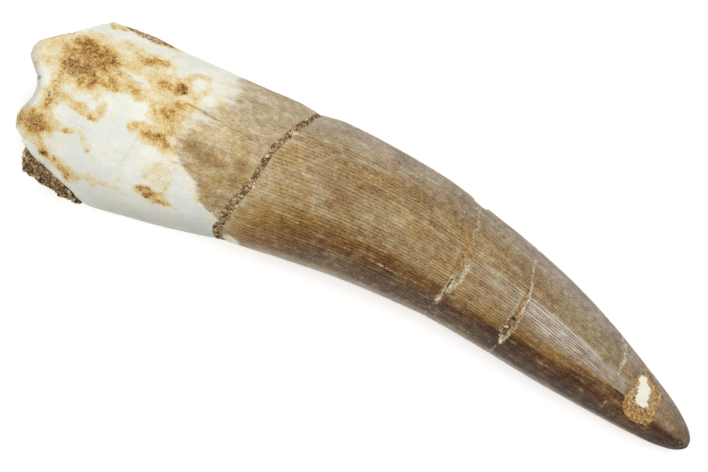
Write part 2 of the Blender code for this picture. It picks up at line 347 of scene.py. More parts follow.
@dataclass(frozen=True)
class ToothForm:
    """The smooth form of the whole tooth: its centre line, its sections and how it lies."""

    middle: tuple[float, float] = (26.25, 3.05)
    tip_x: float = 53.5
    axis_line: Pairs = (
        (-1.5, 2.6), (3.0, 2.62), (7.0, 2.7), (10.0, 3.0), (14.0, 3.57), (18.0, 4.08), (22.5, 4.55),
        (26.0, 4.71), (29.5, 4.66), (33.0, 4.37), (38.0, 3.63), (43.0, 2.6), (48.0, 1.44), (53.5, 0.1),
    )
    half_width: Pairs = (
        (-1.5, 5.7), (3.0, 6.12), (5.0, 6.35), (7.0, 6.42), (9.0, 6.28), (12.0, 6.03), (16.0, 5.65),
        (22.5, 5.3), (26.0, 5.05), (29.5, 4.8), (33.0, 4.4), (38.0, 3.98), (41.5, 3.58), (45.0, 3.0),
        (48.0, 2.38), (50.0, 1.93), (52.0, 1.42), (53.5, 1.2),
    )
    flatness: Pairs = ((-1.5, 0.8), (10.0, 0.82), (25.0, 0.88), (53.5, 0.94))
    tip_rounding: float = 2.4
    worn_level: float = 0.12
    clearance: Pairs = (
        (-1.5, 0.0), (9.0, 0.0), (15.0, 0.3), (21.5, 0.0), (31.0, 0.0), (38.0, 0.3), (46.0, 0.7),
        (53.5, 1.2),
    )

    def slope(self, x: Array) -> Array:
        """How steeply the centre line runs across at x, over 0.2 mm."""
        return (along(self.axis_line, x + 0.1) - along(self.axis_line, x - 0.1)) / 0.2

    def surface(self, x: Array, angle: Array, share: Array = 1.0, lift: Array = 0.0) -> Array:
        """Points on the tooth's skin, or inside or above it.

        A section is an ellipse across the centre line, drawn in to a share of its size and then
        grown by lift. Its middle is as high as its underside needs to touch the table, and what
        would reach below the table is worn level with it.

        Args:
            x: places along the tooth.
            angle: places round it.
            share: the share of the section's size, 1 for the skin.
            lift: height above that.

        Returns:
            Points in millimetres in the row frame, with x, y, z as the last axis.
        """
        slope = self.slope(x)
        steep = np.hypot(slope, 1)
        width = along(self.half_width, x)
        height = width * along(self.flatness, x)
        past = np.clip((x - self.tip_x + self.tip_rounding) / self.tip_rounding, 0, 1)
        rounding = np.sqrt(1 - past**2)
        turn = np.radians(angle)
        across = (width * rounding * share + lift) * np.sin(turn)
        up = (height * rounding * share + lift) * np.cos(turn)
        return np.stack(
            [
                x - across * slope / steep - self.middle[0],
                along(self.axis_line, x) + across / steep - self.middle[1],
                np.maximum(height - self.worn_level + along(self.clearance, x) + up, 0),
            ],
            axis=-1,
        )

    def under(self, x: Array, y: Array) -> tuple[Array, Array]:
        """Turns a place seen from above into (x, angle) on the tooth's upper side.

        Args:
            x: places along the picture's level line.
            y: places across it.

        Returns:
            The places along and round the tooth.
        """
        at = np.asarray(x, float)
        for _ in range(3):
            slope = self.slope(at)
            steep = np.hypot(slope, 1)
            across = (y - along(self.axis_line, at)) * steep
            at = x + across * slope / steep
        share = np.clip(across / along(self.half_width, at), -0.999, 0.999)
        return at, np.degrees(np.arcsin(share))

    def centre(self, x: float) -> Array:
        """The middle of the section at x."""
        return self.surface(np.array([x]), np.zeros(1), share=0.0)[0]


@dataclass(frozen=True)
class Break:
    """The slanting break between root and crown, and how its edges are worn."""

    line: Pairs = (
        (-180, 17.9), (-160, 17.2), (-135, 16.7), (-110, 16.4), (-90, 16.2), (-68, 15.8), (-58, 15.75),
        (-47, 16.0), (-37, 16.1), (-29, 16.3), (-18, 16.8), (-4, 17.15), (12, 17.45), (24, 17.85),
        (32, 18.25), (46, 18.8), (55, 19.2), (75, 19.75), (90, 19.9), (110, 19.8), (135, 19.3),
        (160, 18.6),
    )
    width: Pairs = ((-135, 0.5), (-60, 0.65), (-20, 0.62), (-4, 0.44), (45, 0.46), (75, 0.4), (135, 0.42))
    depth: float = 0.5
    wear: Pairs = ((-90, 0.08), (0, 0.06), (60, 0.1), (90, 0.2), (120, 0.1), (180, 0.06))
    wear_length: float = 1.8
    edge_round: float = 0.3
    edge_worn: float = 0.05
    wall_rows: int = 5
    ragged: float = 0.1

    def middle(self, angle: Array) -> Array:
        """Where the break's middle lies at each angle."""
        return around(self.line, angle)

    def side(self, angle: Array, way: int) -> Array:
        """Where one side of the break lies, ragged by a little noise.

        Args:
            angle: places round the tooth.
            way: -1 for the root's side, 1 for the crown's.

        Returns:
            x at each angle.
        """
        shake = self.ragged * rough(ring(angle, 5.5, 9.0 * way), 0.7, 31, 3)
        return self.middle(angle) + way * around(self.width, angle) / 2 + shake

    def wall(self) -> Array:
        """How deep the rows of the break's wall lie, from its floor up to its edge."""
        return -self.depth * np.linspace(1, 0.08, self.wall_rows)[:, None]

    def dip(self, x: Array, angle: Array) -> Array:
        """How far the skin is worn down towards the break from both sides."""
        from_break = np.abs(x - self.middle(angle))
        return -around(self.wear, angle) * fade(self.wear_length, 0, from_break)


FORM = ToothForm()
BREAK = Break()


class Mark(Enum):
    """What is known of each point of the skin, by the name of its mesh attribute."""

    ENAMEL = "enamel"
    TONE = "tone"
    STAIN = "stain"
    CREST = "crest"
    PALE = "pale"
    # Dark marks: pits, cracks and fills, and also painted shade on the root's lower side and on its broken
    # bevel
    DARK = "dark"
    RUST = "rust"
    GLOSS = "gloss"
    BARE = "bare"
    GOLD = "gold"
    # A purplish grey that is partly the enamel's own colour towards the tip and partly a painted reflection
    # of the white surround on the upper side, the lower edge and the facet
    MAUVE = "mauve"


@dataclass(frozen=True)
class Spot:
    """A soft-edged oval, seen from above: its middle, half length and half width."""

    x: float
    y: float
    length: float
    width: float
    strength: float = 1.0
    turn: float = 0.0
    soft: float = 0.9

    def mask(self, plan: Array) -> Array:
        """How strong the oval is at each place: it fades with the distance, in its own radii.

        Args:
            plan: places seen from above, with x, y as the last axis.

        Returns:
            Shares from 0 to the strength.
        """
        c, s = np.cos(np.radians(self.turn)), np.sin(np.radians(self.turn))
        dx, dy = plan[..., 0] - self.x, plan[..., 1] - self.y
        far = np.hypot((dx * c + dy * s) / self.length, (dy * c - dx * s) / self.width)
        return self.strength * fade(1 + self.soft / 2, 1 - self.soft / 2, far)


@dataclass(frozen=True)
class Trail:
    """A soft-edged line through points, seen from above. Its width is half its full breadth."""

    points: Pairs
    width: float
    strength: float = 1.0
    soft: float = 1.2

    def mask(self, plan: Array) -> Array:
        """How strong the line is at each place: it fades with the distance to its nearest run.

        Args:
            plan: places seen from above, with x, y as the last axis.

        Returns:
            Shares from 0 to the strength.
        """
        far = np.full(plan.shape[:-1], np.inf)
        for start, end in zip(self.points[:-1], self.points[1:]):
            a, run = np.array(start), np.subtract(end, start)
            t = np.clip((plan - a) @ run / (run @ run), 0, 1)
            far = np.minimum(far, np.linalg.norm(plan - a - t[..., None] * run, axis=-1))
        return self.strength * fade(self.width * (1 + self.soft / 2), self.width * (1 - self.soft / 2), far)


@dataclass
class Skin:
    """A stretch of the tooth's skin on a grid: rows along the tooth, columns round it.

    Each point has its share of the section's size, and its sink, the height below 0 of the walls
    of the break.
    """

    x: Array
    angle: Array
    share: Array
    sink: Array
    ragged: float = 0.16
    moved: float = 1.3

    def __post_init__(self) -> None:
        """Works out where each point lies and how it is seen from above and from below."""
        self.base = FORM.surface(self.x, self.angle, self.share, self.sink)
        self.lift = self.sink.copy()
        self.marks = {mark: np.zeros(self.x.shape) for mark in Mark}
        plan = self.base[..., :2] + FORM.middle
        axis = along(FORM.axis_line, plan[..., 0])
        below = np.stack([plan[..., 0] + self.moved, 2 * axis - plan[..., 1]], axis=-1)
        self.upper = np.abs(turned(self.angle, 0)) < 92
        shake = [rough(self.base, 0.5, seed, 3) for seed in (41, 42)]
        self.plan = np.where(self.upper[..., None], plan, below) + self.ragged * np.stack(shake, axis=-1)
        turn = np.radians(self.angle)
        self.grain = np.stack([self.x / 12, 5 * np.cos(turn), 5 * np.sin(turn)], axis=-1)

    def mask(self, shapes: Sequence[Spot | Trail]) -> Array:
        """Joins the masks of shapes, on the upper side as given, on the underside mirrored and moved.

        Args:
            shapes: spots and trails, whose edges are shaken by noise.

        Returns:
            Shares from 0 to 1.
        """
        total = np.zeros(self.x.shape)
        for shape in shapes:
            total = either(total, shape.mask(self.plan))
        return total

    def add(self, mark: Mark, amount: Array) -> None:
        """Adds to a mark so that it never passes 1."""
        self.marks[mark] = either(self.marks[mark], amount)

    def from_break(self, way: int) -> Array:
        """How far each point lies from the break's edge, where way is -1 on the root, 1 on the crown."""
        return way * (self.x - BREAK.side(self.angle, way))

    def margin(self, way: int, seed: int) -> Array:
        """The uneven pale margin beside the break: 1 at its edge, 0 further off."""
        return fade(0.9, 0.1, self.from_break(way) + 0.6 * rough(self.base, 0.5, seed))

    def attributes(self) -> dict[str, Array]:
        """Lists what the mesh keeps at its points.

        Returns:
            The marks and the lengthwise grain by name, a row for each point, then for the two ends.
        """
        found = {mark.value: values.ravel() for mark, values in self.marks.items()}
        found = {key: np.append(values, [values[0], values[-1]]) for key, values in found.items()}
        grain = self.grain.reshape(-1, 3)
        return found | {"grain": np.vstack([grain, grain[:1], grain[-1:]])}

    def piece(self, name: str, ends: Sequence[float], finish: bpy.types.Material) -> bpy.types.Object:
        """Makes the piece, closed at both ends on the middle of a section.

        Args:
            name: the piece's name.
            ends: x of the first and of the last section's middle.
            finish: the tooth's material.

        Returns:
            The new object.
        """
        grid = FORM.surface(self.x, self.angle, self.share, self.lift)
        points = np.vstack([grid.reshape(-1, 3), [FORM.centre(x) for x in ends]])
        piece = new_piece(name, points, tube_faces(*self.x.shape, ends=True), self.attributes())
        piece.data.materials.append(finish)
        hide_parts("tooth")
        return piece


def columns(count: int) -> Array:
    """Angles round a section, closer together on top: each is 360u - k sin(360u) in degrees.

    Args:
        count: how many there are.

    Returns:
        Angles from -180 on.
    """
    u = np.arange(count) / count - 0.5
    return 360 * u - 0.25 * np.degrees(np.sin(2 * np.pi * u))


def rows(lines: Sequence[Array], counts: Sequence[int]) -> Array:
    """Rows of x that pass evenly from each line to the next.

    Args:
        lines: x at each angle, one line after the other.
        counts: how many rows lie between each line and the next, the first line with them.

    Returns:
        Rows x columns of x, with the last line at the end.
    """
    parts = []
    for start, end, count in zip(lines[:-1], lines[1:], counts):
        share = np.arange(count)[:, None] / count
        parts.append(start + (end - start) * share)
    return np.concatenate([*parts, lines[-1][None]])


# ---------------------------------------------------------------------------------------------
# Shader maths


class Value:
    """A number that a shader works out at each point. Python's operators add its sums."""

    def __init__(self, graph: "Graph", socket: bpy.types.NodeSocket) -> None:
        """Wraps a node's output."""
        self.graph, self.socket = graph, socket

    def __add__(self, other: "Value | float") -> "Value":
        """self + other"""
        return self.graph.sum("ADD", self, other)

    def __mul__(self, other: "Value | float") -> "Value":
        """self x other"""
        return self.graph.sum("MULTIPLY", self, other)

    def __sub__(self, other: "Value | float") -> "Value":
        """self - other"""
        return self.graph.sum("SUBTRACT", self, other)

    def __rsub__(self, other: float) -> "Value":
        """other - self"""
        return self.graph.sum("SUBTRACT", other, self)

    __radd__ = __add__
    __rmul__ = __mul__

    def step(self, low: float, high: float) -> "Value":
        """0 below low, 1 above high and a smooth rise between them, or the other way round."""
        node = self.graph.node(
            "ShaderNodeMapRange",
            {"interpolation_type": "SMOOTHSTEP"},
            {"Value": self, "From Min": low, "From Max": high},
        )
        return Value(self.graph, node.outputs["Result"])


class Colour:
    """A colour that a shader works out at each point."""

    def __init__(self, graph: "Graph", socket: bpy.types.NodeSocket) -> None:
        """Wraps a node's output."""
        self.graph, self.socket = graph, socket

    def under(self, mask: Value, other: "Colour | tuple") -> "Colour":
        """Lays another colour over this one.

        Args:
            mask: how much of the other colour shows.
            other: the colour laid over.

        Returns:
            The blended colour.
        """
        settings = {"data_type": "RGBA", "clamp_factor": True}
        node = self.graph.node("ShaderNodeMix", settings, {0: mask, 6: self, 7: other})
        return Colour(self.graph, node.outputs[2])

    def dimmed(self, amount: Value) -> "Colour":
        """This colour scaled by a number."""
        node = self.graph.node("ShaderNodeVectorMath", {"operation": "SCALE"}, {0: self, "Scale": amount})
        return Colour(self.graph, node.outputs["Vector"])


class Graph:
    """A material's nodes while they are put together."""

    def __init__(self, name: str) -> None:
        """Starts an empty material."""
        self.material = bpy.data.materials.new(name)
        self.material.use_nodes = True
        self.material.node_tree.nodes.clear()
        coordinates = self.node("ShaderNodeTexCoord")
        settings, inputs = {"operation": "SCALE"}, {0: coordinates.outputs["Object"], "Scale": 1 / MM}
        self.place = self.node("ShaderNodeVectorMath", settings, inputs).outputs["Vector"]

    def node(self, kind: str, settings: dict | None = None, inputs: dict | None = None) -> bpy.types.Node:
        """Adds a node of any kind.

        Args:
            kind: the node's type.
            settings: its properties, set first. "stops" are a ramp's (place, colour) pairs.
            inputs: values or links, by socket name or number.

        Returns:
            The node.
        """
        tree = self.material.node_tree
        node = tree.nodes.new(kind)
        for key, value in (settings or {}).items():
            if key != "stops":
                setattr(node, key, value)
                continue
            entries = node.color_ramp.elements
            while len(entries) < len(value):
                entries.new(0.5)
            for entry, (place, colour) in zip(entries, value):
                entry.position, entry.color = place, colour
        for key, value in (inputs or {}).items():
            source = getattr(value, "socket", value)
            if isinstance(source, bpy.types.NodeSocket):
                tree.links.new(source, node.inputs[key])
            else:
                node.inputs[key].default_value = source
        return node

    def sum(self, operation: str, *values: "Value | float") -> Value:
        """A Math node's result for the values."""
        node = self.node("ShaderNodeMath", {"operation": operation}, dict(enumerate(values)))
        return Value(self, node.outputs[0])

    def known(self, name: str) -> Value:
        """A number kept at the mesh's points."""
        return Value(self, self.node("ShaderNodeAttribute", {"attribute_name": name}).outputs["Fac"])

    def noise(
        self, scale: float, detail: float = 3.0, stretch: float | None = None, distortion: float = 0.0
    ) -> Value:
        """Noise from about 0.2 to 0.8.

        Args:
            scale: how many lumps there are to a millimetre.
            detail: its finer layers.
            stretch: lumps are 12 times as long as wide along the tooth, divided by this.
            distortion: how much it swirls.

        Returns:
            The noise.
        """
        place = self.place
        if stretch:
            grain = self.node("ShaderNodeAttribute", {"attribute_name": "grain"}).outputs["Vector"]
            inputs = {0: grain, 1: (stretch, 1.0, 1.0)}
            place = self.node("ShaderNodeVectorMath", {"operation": "MULTIPLY"}, inputs).outputs["Vector"]
        inputs = {"Vector": place, "Scale": scale, "Detail": detail, "Distortion": distortion}
        return Value(self, self.node("ShaderNodeTexNoise", None, inputs).outputs["Fac"])

    def cells(self, scale: float) -> tuple[Value, Colour]:
        """Voronoi cells: the distance to each cell's middle, and a random colour for each cell."""
        node = self.node("ShaderNodeTexVoronoi", None, {"Vector": self.place, "Scale": scale})
        return Value(self, node.outputs["Distance"]), Colour(self, node.outputs["Color"])

    def ramp(self, value: Value, stops: Sequence[tuple[float, tuple]]) -> Colour:
        """Reads colours off a ramp."""
        node = self.node("ShaderNodeValToRGB", {"stops": stops}, {"Fac": value})
        return Colour(self, node.outputs["Color"])

    def finish(
        self, colour: Colour, roughness: Value | float, height: Value, extra: dict | None = None
    ) -> bpy.types.Material:
        """Puts the shader in place.

        Args:
            colour: the base colour.
            roughness: how matt it is.
            height: the bump's height in millimetres.
            extra: other sockets of the shader.

        Returns:
            The material.
        """
        bump = self.node("ShaderNodeBump", None, {"Strength": 1.0, "Distance": MM, "Height": height})
        inputs = {"Base Color": colour, "Roughness": roughness, "Normal": bump.outputs["Normal"]}
        shader = self.node("ShaderNodeBsdfPrincipled", None, inputs | (extra or {}))
        self.node("ShaderNodeOutputMaterial", None, {"Surface": shader.outputs["BSDF"]})
        return self.material


@dataclass(frozen=True)
class FossilFinish:
    """The tooth itself: stained white root, brown striated enamel, cracks and chips."""

    root_stops: tuple = stops(
        (0.0, 238, 237, 224), (0.12, 235, 227, 200), (0.27, 229, 208, 156), (0.43, 216, 180, 110),
        (0.6, 190, 144, 72), (0.8, 142, 94, 44), (1.0, 88, 54, 26),
    )
    enamel_stops: tuple = stops(
        (0.0, 216, 203, 174), (0.25, 186, 165, 125), (0.5, 154, 130, 88), (0.75, 112, 84, 48),
        (1.0, 58, 36, 18),
    )
    golden_stops: tuple = stops(
        (0.0, 212, 190, 142), (0.25, 182, 152, 92), (0.5, 150, 113, 56), (0.75, 108, 68, 26),
        (1.0, 52, 27, 8),
    )
    # Purplish grey ramp, for the enamel's own greyer colour and for painted reflection of the white
    # surround
    mauve_and_reflection_stops: tuple = stops(
        (0.0, 220, 212, 200), (0.25, 184, 173, 157), (0.5, 154, 140, 122), (0.75, 112, 96, 80),
        (1.0, 62, 46, 36),
    )
    # sheen: a lilac white that is a painted highlight, laid over the glossy facet's striae for the sheen
    # lamp's reflection
    sheen: tuple = paint(212, 202, 198)
    cool_white: tuple = paint(226, 229, 220)
    worn_stops: tuple = stops((0.35, 164, 146, 108), (0.7, 190, 176, 140), (1.0, 236, 230, 212))
    clean: tuple = paint(244, 242, 226)
    # Dark brown of the dark mark: pits, cracks and fills, and painted shade
    dirt_and_painted_shade: tuple = paint(44, 30, 20)
    rust_stops: tuple = stops(
        (0.3, 118, 80, 44), (0.43, 164, 118, 66), (0.55, 194, 157, 102), (0.7, 216, 200, 158),
    )

    def build(self) -> bpy.types.Material:
        """Makes the material.

        Returns:
            One material for root and crown, led by the skin's marks.
        """
        g = Graph("fossil_tooth")
        known = {mark: g.known(mark.value) for mark in Mark}
        tone, stain, crest, gloss = (known[m] for m in (Mark.TONE, Mark.STAIN, Mark.CREST, Mark.GLOSS))
        fine, mottle, cloud = g.noise(6.5, 5), g.noise(1.7, 6, distortion=0.4), g.noise(0.4, 3)
        streak, hair = g.noise(3.4, 6, stretch=1.6), g.noise(12.0, 4, stretch=4.0)
        speck, grit = g.noise(5.5, 2), g.noise(13.0, 3)

        enamel = (known[Mark.ENAMEL] + (streak - 0.5) * 1.1 + (mottle - 0.5) * 0.5).step(0.05, 0.95)
        shown = stain.step(0.0, 0.14)
        spread = stain * (0.12 + mottle * 1.8) + (fine - 0.5) * (shown * 0.1 + stain * 1.35)
        spread = spread + (grit - 0.5) * stain * 1.0
        root = g.ramp(spread, self.root_stops)
        root = root.under(cloud.step(0.42, 0.6) * (1 - shown) * 0.8, self.cool_white)
        root = root.dimmed(0.74 + streak * 0.2 + hair * 0.2 + grit * 0.08)

        shade = tone + 0.045 + (streak - 0.5) * 0.25 + (hair - 0.5) * 0.68 + (mottle - 0.5) * 0.52
        shade = shade + (grit - 0.5) * 0.7 - crest * 0.36
        golden = (g.noise(0.7, 5, distortion=0.5) + (streak - 0.5) * 0.7).step(0.36, 0.62) * 0.68
        golden = golden * (1 - known[Mark.MAUVE]) + known[Mark.GOLD]
        crown = g.ramp(shade, self.enamel_stops).under(golden, g.ramp(shade, self.golden_stops))
        # Purplish grey laid over the crown: partly its own colour, partly painted reflection
        crown = crown.under(known[Mark.MAUVE] * 0.85, g.ramp(shade, self.mauve_and_reflection_stops))
        # Painted highlight: streaks of the sheen colour along the striae, where the facet is glossy
        painted_glint = (crest * 0.4 + g.noise(3.6, 5, stretch=2.2) * 1.3).step(0.72, 0.98)
        crown = crown.under(painted_glint * gloss.step(0.2, 0.9) * 0.55, self.sheen)

        whole = root.under(enamel, crown)
        rust = (known[Mark.RUST] + (fine - 0.5) * 1.0).step(0.2, 0.75)
        whole = whole.under(rust * 0.92, g.ramp(g.noise(6.0, 4), self.rust_stops))
        pale = known[Mark.PALE] + (speck - 0.5) * 1.1 + (grit - 0.5) * 0.6
        whole = whole.under(pale.step(0.36, 0.8) * 0.85, g.ramp(pale, self.worn_stops))
        whole = whole.under(known[Mark.BARE] * 0.97, self.clean)
        # Dark mark: real dark pits, cracks and fills, and painted shade
        whole = whole.under(known[Mark.DARK] * (0.55 + fine * 0.8), self.dirt_and_painted_shade)

        matt = 0.72 - gloss * 0.3 + rust * 0.2 + (fine - 0.5) * 0.3
        height = (1 - enamel) * (fine * 0.03 + mottle * 0.03)
        height = height + enamel * (hair * 0.014 + speck * 0.012 + grit * 0.005)
        height = height + g.noise(8.0, 3) * rust * 0.12 + (fine - 0.5) * shown * (1 - enamel) * 0.05
        extra = {"Coat Weight": enamel * gloss * (1 - rust), "Coat Roughness": 0.16, "IOR": 1.42}
        return g.finish(whole, matt, height, extra)


@dataclass(frozen=True)
class SandFinish:
    """Sand or sandy rock: grains by their tint, or a bed whose cells stand for its finer grains, kept
    darker partly as painted shade between grains.
    """

    name: str
    stops: tuple
    bed: bool = False
    cell: float = 5.0

    def build(self) -> bpy.types.Material:
        """Makes the material.

        Returns:
            The material of the grains, or of the bed under them.
        """
        g = Graph(self.name)
        fine = g.noise(16.0, 3)
        if self.bed:
            distance, random = g.cells(self.cell)
            split = g.node("ShaderNodeSeparateColor", None, {"Color": random})
            # The bed keeps to the ramp's darker half: its own finer grains, and painted shade under the
            # grains that stand on it
            tint, height = Value(g, split.outputs[0]) * 0.5, (1 - distance) * 0.05
        else:
            tint, height = g.known("tint"), fine * 0.01
        colour = g.ramp(tint + (fine - 0.5) * 0.5 + (g.noise(1.2, 2) - 0.5) * 0.3, self.stops)
        return g.finish(colour, 0.95, height + fine * 0.02)


# ---------------------------------------------------------------------------------------------
# The sub-assemblies


@dataclass
class Root:
    """The pale root: its hollow, its broken end, and its skin up to the break."""

    columns: int = 520
    hollow_rows: int = 16
    lip_rows: int = 5
    bevel_rows: int = 5
    skin_counts: tuple[int, int] = (118, 14)
    crest_line: Pairs = (
        (-165, 1.9), (-150, 2.6), (-135, 3.8), (-120, 5.2), (-105, 6.3), (-90, 6.6), (-81, 6.3),
        (-75, 6.0), (-67, 5.4), (-62, 4.4), (-56, 2.4), (-50, 1.5), (-45, 0.9), (-40, 0.2), (-34, 0.1),
        (-26, 0.2), (-15, 0.45), (-4, 0.5), (3, 0.2), (8, -0.3), (12, -0.7), (17, -0.98), (23, -1.02),
        (29, -0.85), (34, -0.5), (40, 0.05), (48, 0.95), (60, 2.0), (72, 2.6), (90, 3.0), (110, 2.8),
        (130, 2.2), (150, 1.6), (165, 1.3), (180, 1.5),
    )
    bevel: Pairs = ((-90, 0.15), (-50, 0.15), (-30, 0.6), (30, 0.7), (60, 0.3), (120, 0.3), (180, 0.3))
    crest_share: float = 0.88
    hollow_share: float = 0.7
    hollow_lip: float = 0.4
    hollow_end: float = 10.5
    enamel_edge: Pairs = (
        (-140, 13.5), (-110, 16.0), (-80, 18.0), (-65, 18.0), (-54, 16.2), (-48, 15.4), (-36, 13.7),
        (-22, 13.0), (-6, 10.9), (5, 10.8), (16, 11.1), (28, 11.9), (36, 13.3), (76, 13.8), (90, 13.9),
        (110, 14.0), (140, 13.0), (180, 12.0),
    )
    washes: tuple = (
        Spot(3.0, 5.3, 2.8, 2.0, 1.0, -5), Spot(0.2, 5.2, 1.4, 1.7, 0.5), Spot(1.8, 2.2, 0.7, 2.3, 0.9),
        Trail(((2.4, 2.3), (4.0, 2.2), (5.2, 2.0), (5.5, 2.9)), 0.4, 0.75),
        Spot(1.5, -0.2, 1.4, 1.05, 1.0),
        Trail(((2.2, 0.6), (3.3, 0.3), (4.6, 0.6), (5.6, 0.0)), 0.36, 0.7),
        Spot(6.0, 7.0, 3.3, 1.25, 0.62, 8),
        Trail(((2.0, -1.2), (3.2, -1.7), (4.6, -2.2), (5.7, -2.5)), 0.45, 0.8),
        Trail(((5.6, -2.2), (7.2, -1.9), (8.8, -1.7)), 0.25, 0.45), Spot(6.9, 5.0, 1.3, 0.6, 0.85),
        Spot(8.5, 6.2, 1.1, 0.9, 0.9), Spot(9.9, 5.6, 1.5, 1.6, 0.9), Spot(9.6, 4.0, 1.2, 1.3, 0.7),
        Spot(9.3, 2.7, 1.5, 0.62, 0.9), Spot(7.9, 2.7, 0.5, 0.4, 0.6), Spot(12.9, 6.7, 0.5, 0.6, 0.5),
        Trail(((9.9, 7.4), (10.4, 8.0), (11.1, 8.1), (11.5, 7.5), (11.2, 6.7), (10.4, 6.5)), 0.26, 0.6),
        Spot(11.2, -1.1, 1.3, 0.55, 0.8), Spot(11.0, 0.35, 1.4, 0.85, 0.5),
        Spot(10.6, 3.2, 0.9, 1.4, 0.6),
    )
    stains: tuple = (
        Spot(3.0, 5.15, 1.7, 1.5, 0.92), Spot(4.1, 6.2, 1.3, 0.6, 0.75, -15),
        Spot(2.2, 6.4, 1.0, 0.5, 0.62), Spot(5.2, 4.6, 0.8, 0.5, 0.66), Spot(1.6, -0.2, 1.0, 0.8, 0.85),
        Spot(5.05, 1.95, 0.4, 0.34, 0.65), Spot(3.9, 0.35, 0.45, 0.28, 0.62),
        Spot(4.8, 0.8, 0.3, 0.25, 0.6), Spot(6.7, 7.2, 0.7, 0.3, 0.55),
        Trail(((6.7, 7.4), (7.9, 7.75)), 0.26, 0.7), Spot(9.7, 6.5, 0.65, 0.5, 1.0),
        Spot(8.5, 6.3, 0.55, 0.45, 0.75), Spot(10.3, 5.6, 0.5, 0.42, 0.6),
        Spot(9.8, 4.6, 0.65, 0.42, 0.7), Spot(9.2, 2.65, 0.6, 0.34, 0.7),
        Spot(10.0, 2.9, 0.5, 0.26, 0.62, 25), Spot(7.9, 2.75, 0.36, 0.22, 0.5, 20),
        Spot(10.6, 2.6, 0.4, 0.3, 0.6), Spot(11.0, -1.05, 0.85, 0.42, 1.0, -8),
        Spot(10.9, -1.1, 0.45, 0.26, 1.0, -20), Spot(12.9, 6.6, 0.26, 0.32, 0.5),
        Spot(6.8, 5.0, 0.65, 0.3, 0.65), Spot(2.95, -1.85, 0.4, 0.25, 0.9),
        Trail(((3.3, -1.75), (4.5, -2.15), (5.2, -2.5)), 0.24, 0.7),
        Trail(((3.3, 8.5), (5.0, 8.85), (8.4, 9.0)), 0.22, 0.8), Spot(1.75, 2.6, 0.4, 1.6, 0.42),
        Trail(((11.8, -1.2), (13.1, -1.2)), 0.16, 0.6), Spot(8.7, 3.9, 0.3, 0.5, 0.5),
    )
    pits: tuple = (
        Spot(10.16, 6.44, 0.14, 0.1), Trail(((10.45, 3.9), (10.6, 3.5)), 0.06, 0.4),
        Spot(0.42, 2.8, 0.13, 0.12, 0.5), Spot(2.95, -1.9, 0.16, 0.12, 0.8),
        Spot(9.62, 6.5, 0.14, 0.1, 0.8), Spot(1.9, 5.0, 0.1, 0.09, 0.7), Spot(10.75, 2.6, 0.1, 0.2, 0.35),
        Spot(3.2, 5.8, 0.12, 0.08, 0.6), Spot(15.45, -0.25, 0.09, 0.07, 0.9),
        Spot(10.8, -1.1, 0.5, 0.24, 0.3, -15), Spot(3.1, 4.9, 0.7, 0.4, 0.12),
    )
    hairlines: tuple = (
        Trail(((4.0, 6.23), (5.0, 5.95), (5.6, 5.79), (6.4, 5.68), (7.2, 5.72)), 0.036, 0.42),
        Trail(((10.65, 5.92), (11.8, 5.82), (13.2, 5.83)), 0.04, 0.72),
        Trail(((13.2, 5.83), (14.6, 5.72), (16.5, 5.6)), 0.036, 0.46),
        Trail(((8.55, 2.35), (8.5, 1.5), (8.36, 0.3)), 0.05, 0.13),
        Trail(((11.0, 3.6), (13.0, 3.85), (15.2, 4.1)), 0.036, 0.38),
        Trail(((11.5, 1.8), (13.0, 1.82), (14.6, 1.95)), 0.036, 0.35),
    )
    tans: tuple = (
        Spot(13.3, 3.1, 1.5, 0.6, 0.16), Spot(13.5, 0.95, 0.8, 0.5, 0.24),
        Spot(15.3, 0.7, 0.9, 0.7, 0.18), Spot(12.2, 3.3, 1.2, 0.5, 0.1), Spot(16.0, 3.0, 0.6, 1.2, 0.1),
    )

    crest_jags: float = 0.16
    hairline_depth: float = 0.05
    pit_depth: float = 0.09
    broken_width: tuple[float, float] = (0.9, 0.1)
    broken_height: float = 0.05

    def crest(self, angle: Array) -> Array:
        """Where the broken wall ends at each angle, with small jags."""
        return around(self.crest_line, angle) + self.crest_jags * rough(ring(angle, 6.0), 0.9, 51, 3)

    def lay_out(self) -> Skin:
        """Lays the grid: hollow, broken edge, skin, then the wall of the break.

        The hollow is a bullet shape, whose share of the section is that of an ellipse's height
        along its length. The edge is rounded from the hollow's lip out to the skin.

        Returns:
            The root's skin before any relief.
        """
        angle = columns(self.columns)
        crest = self.crest(angle)
        lip, edge = crest + self.hollow_lip, crest + around(self.bevel, angle)
        near = BREAK.side(angle, -1)
        inside = rows([np.full_like(lip, self.hollow_end), lip], [self.hollow_rows])[1:]
        deep = np.maximum(inside, 0) / self.hollow_end
        hollow = self.hollow_share * np.sqrt(np.clip(1 - deep**2, 0, 1))
        t = np.linspace(0, 1, self.lip_rows + 1)[1:, None]
        over = crest + self.hollow_lip * (1 - t) ** 2
        out = np.linspace(0, 1, self.bevel_rows + 2)[1:-1, None]
        bevel = crest + (edge - crest) * out
        skin = rows([edge, near - 1.2, near], self.skin_counts)
        wall = np.repeat(near[None], BREAK.wall_rows, axis=0)
        x = np.concatenate([inside, over, bevel, skin, wall, BREAK.middle(angle)[None] - 0.01])
        share = np.concatenate(
            [
                hollow,
                hollow[-1] + (self.crest_share - hollow[-1]) * t,
                self.crest_share + (1 - self.crest_share) * np.sqrt(out) * np.ones_like(bevel),
                np.ones((len(skin) + BREAK.wall_rows + 1, self.columns)),
            ]
        )
        sink = np.zeros_like(x)
        sink[-BREAK.wall_rows - 1 : -1] = BREAK.wall()[::-1]
        sink[-1] = -BREAK.depth
        self.skin_rows = slice(len(inside), len(x) - BREAK.wall_rows - 1)
        return Skin(x, np.broadcast_to(angle, x.shape), share, sink)

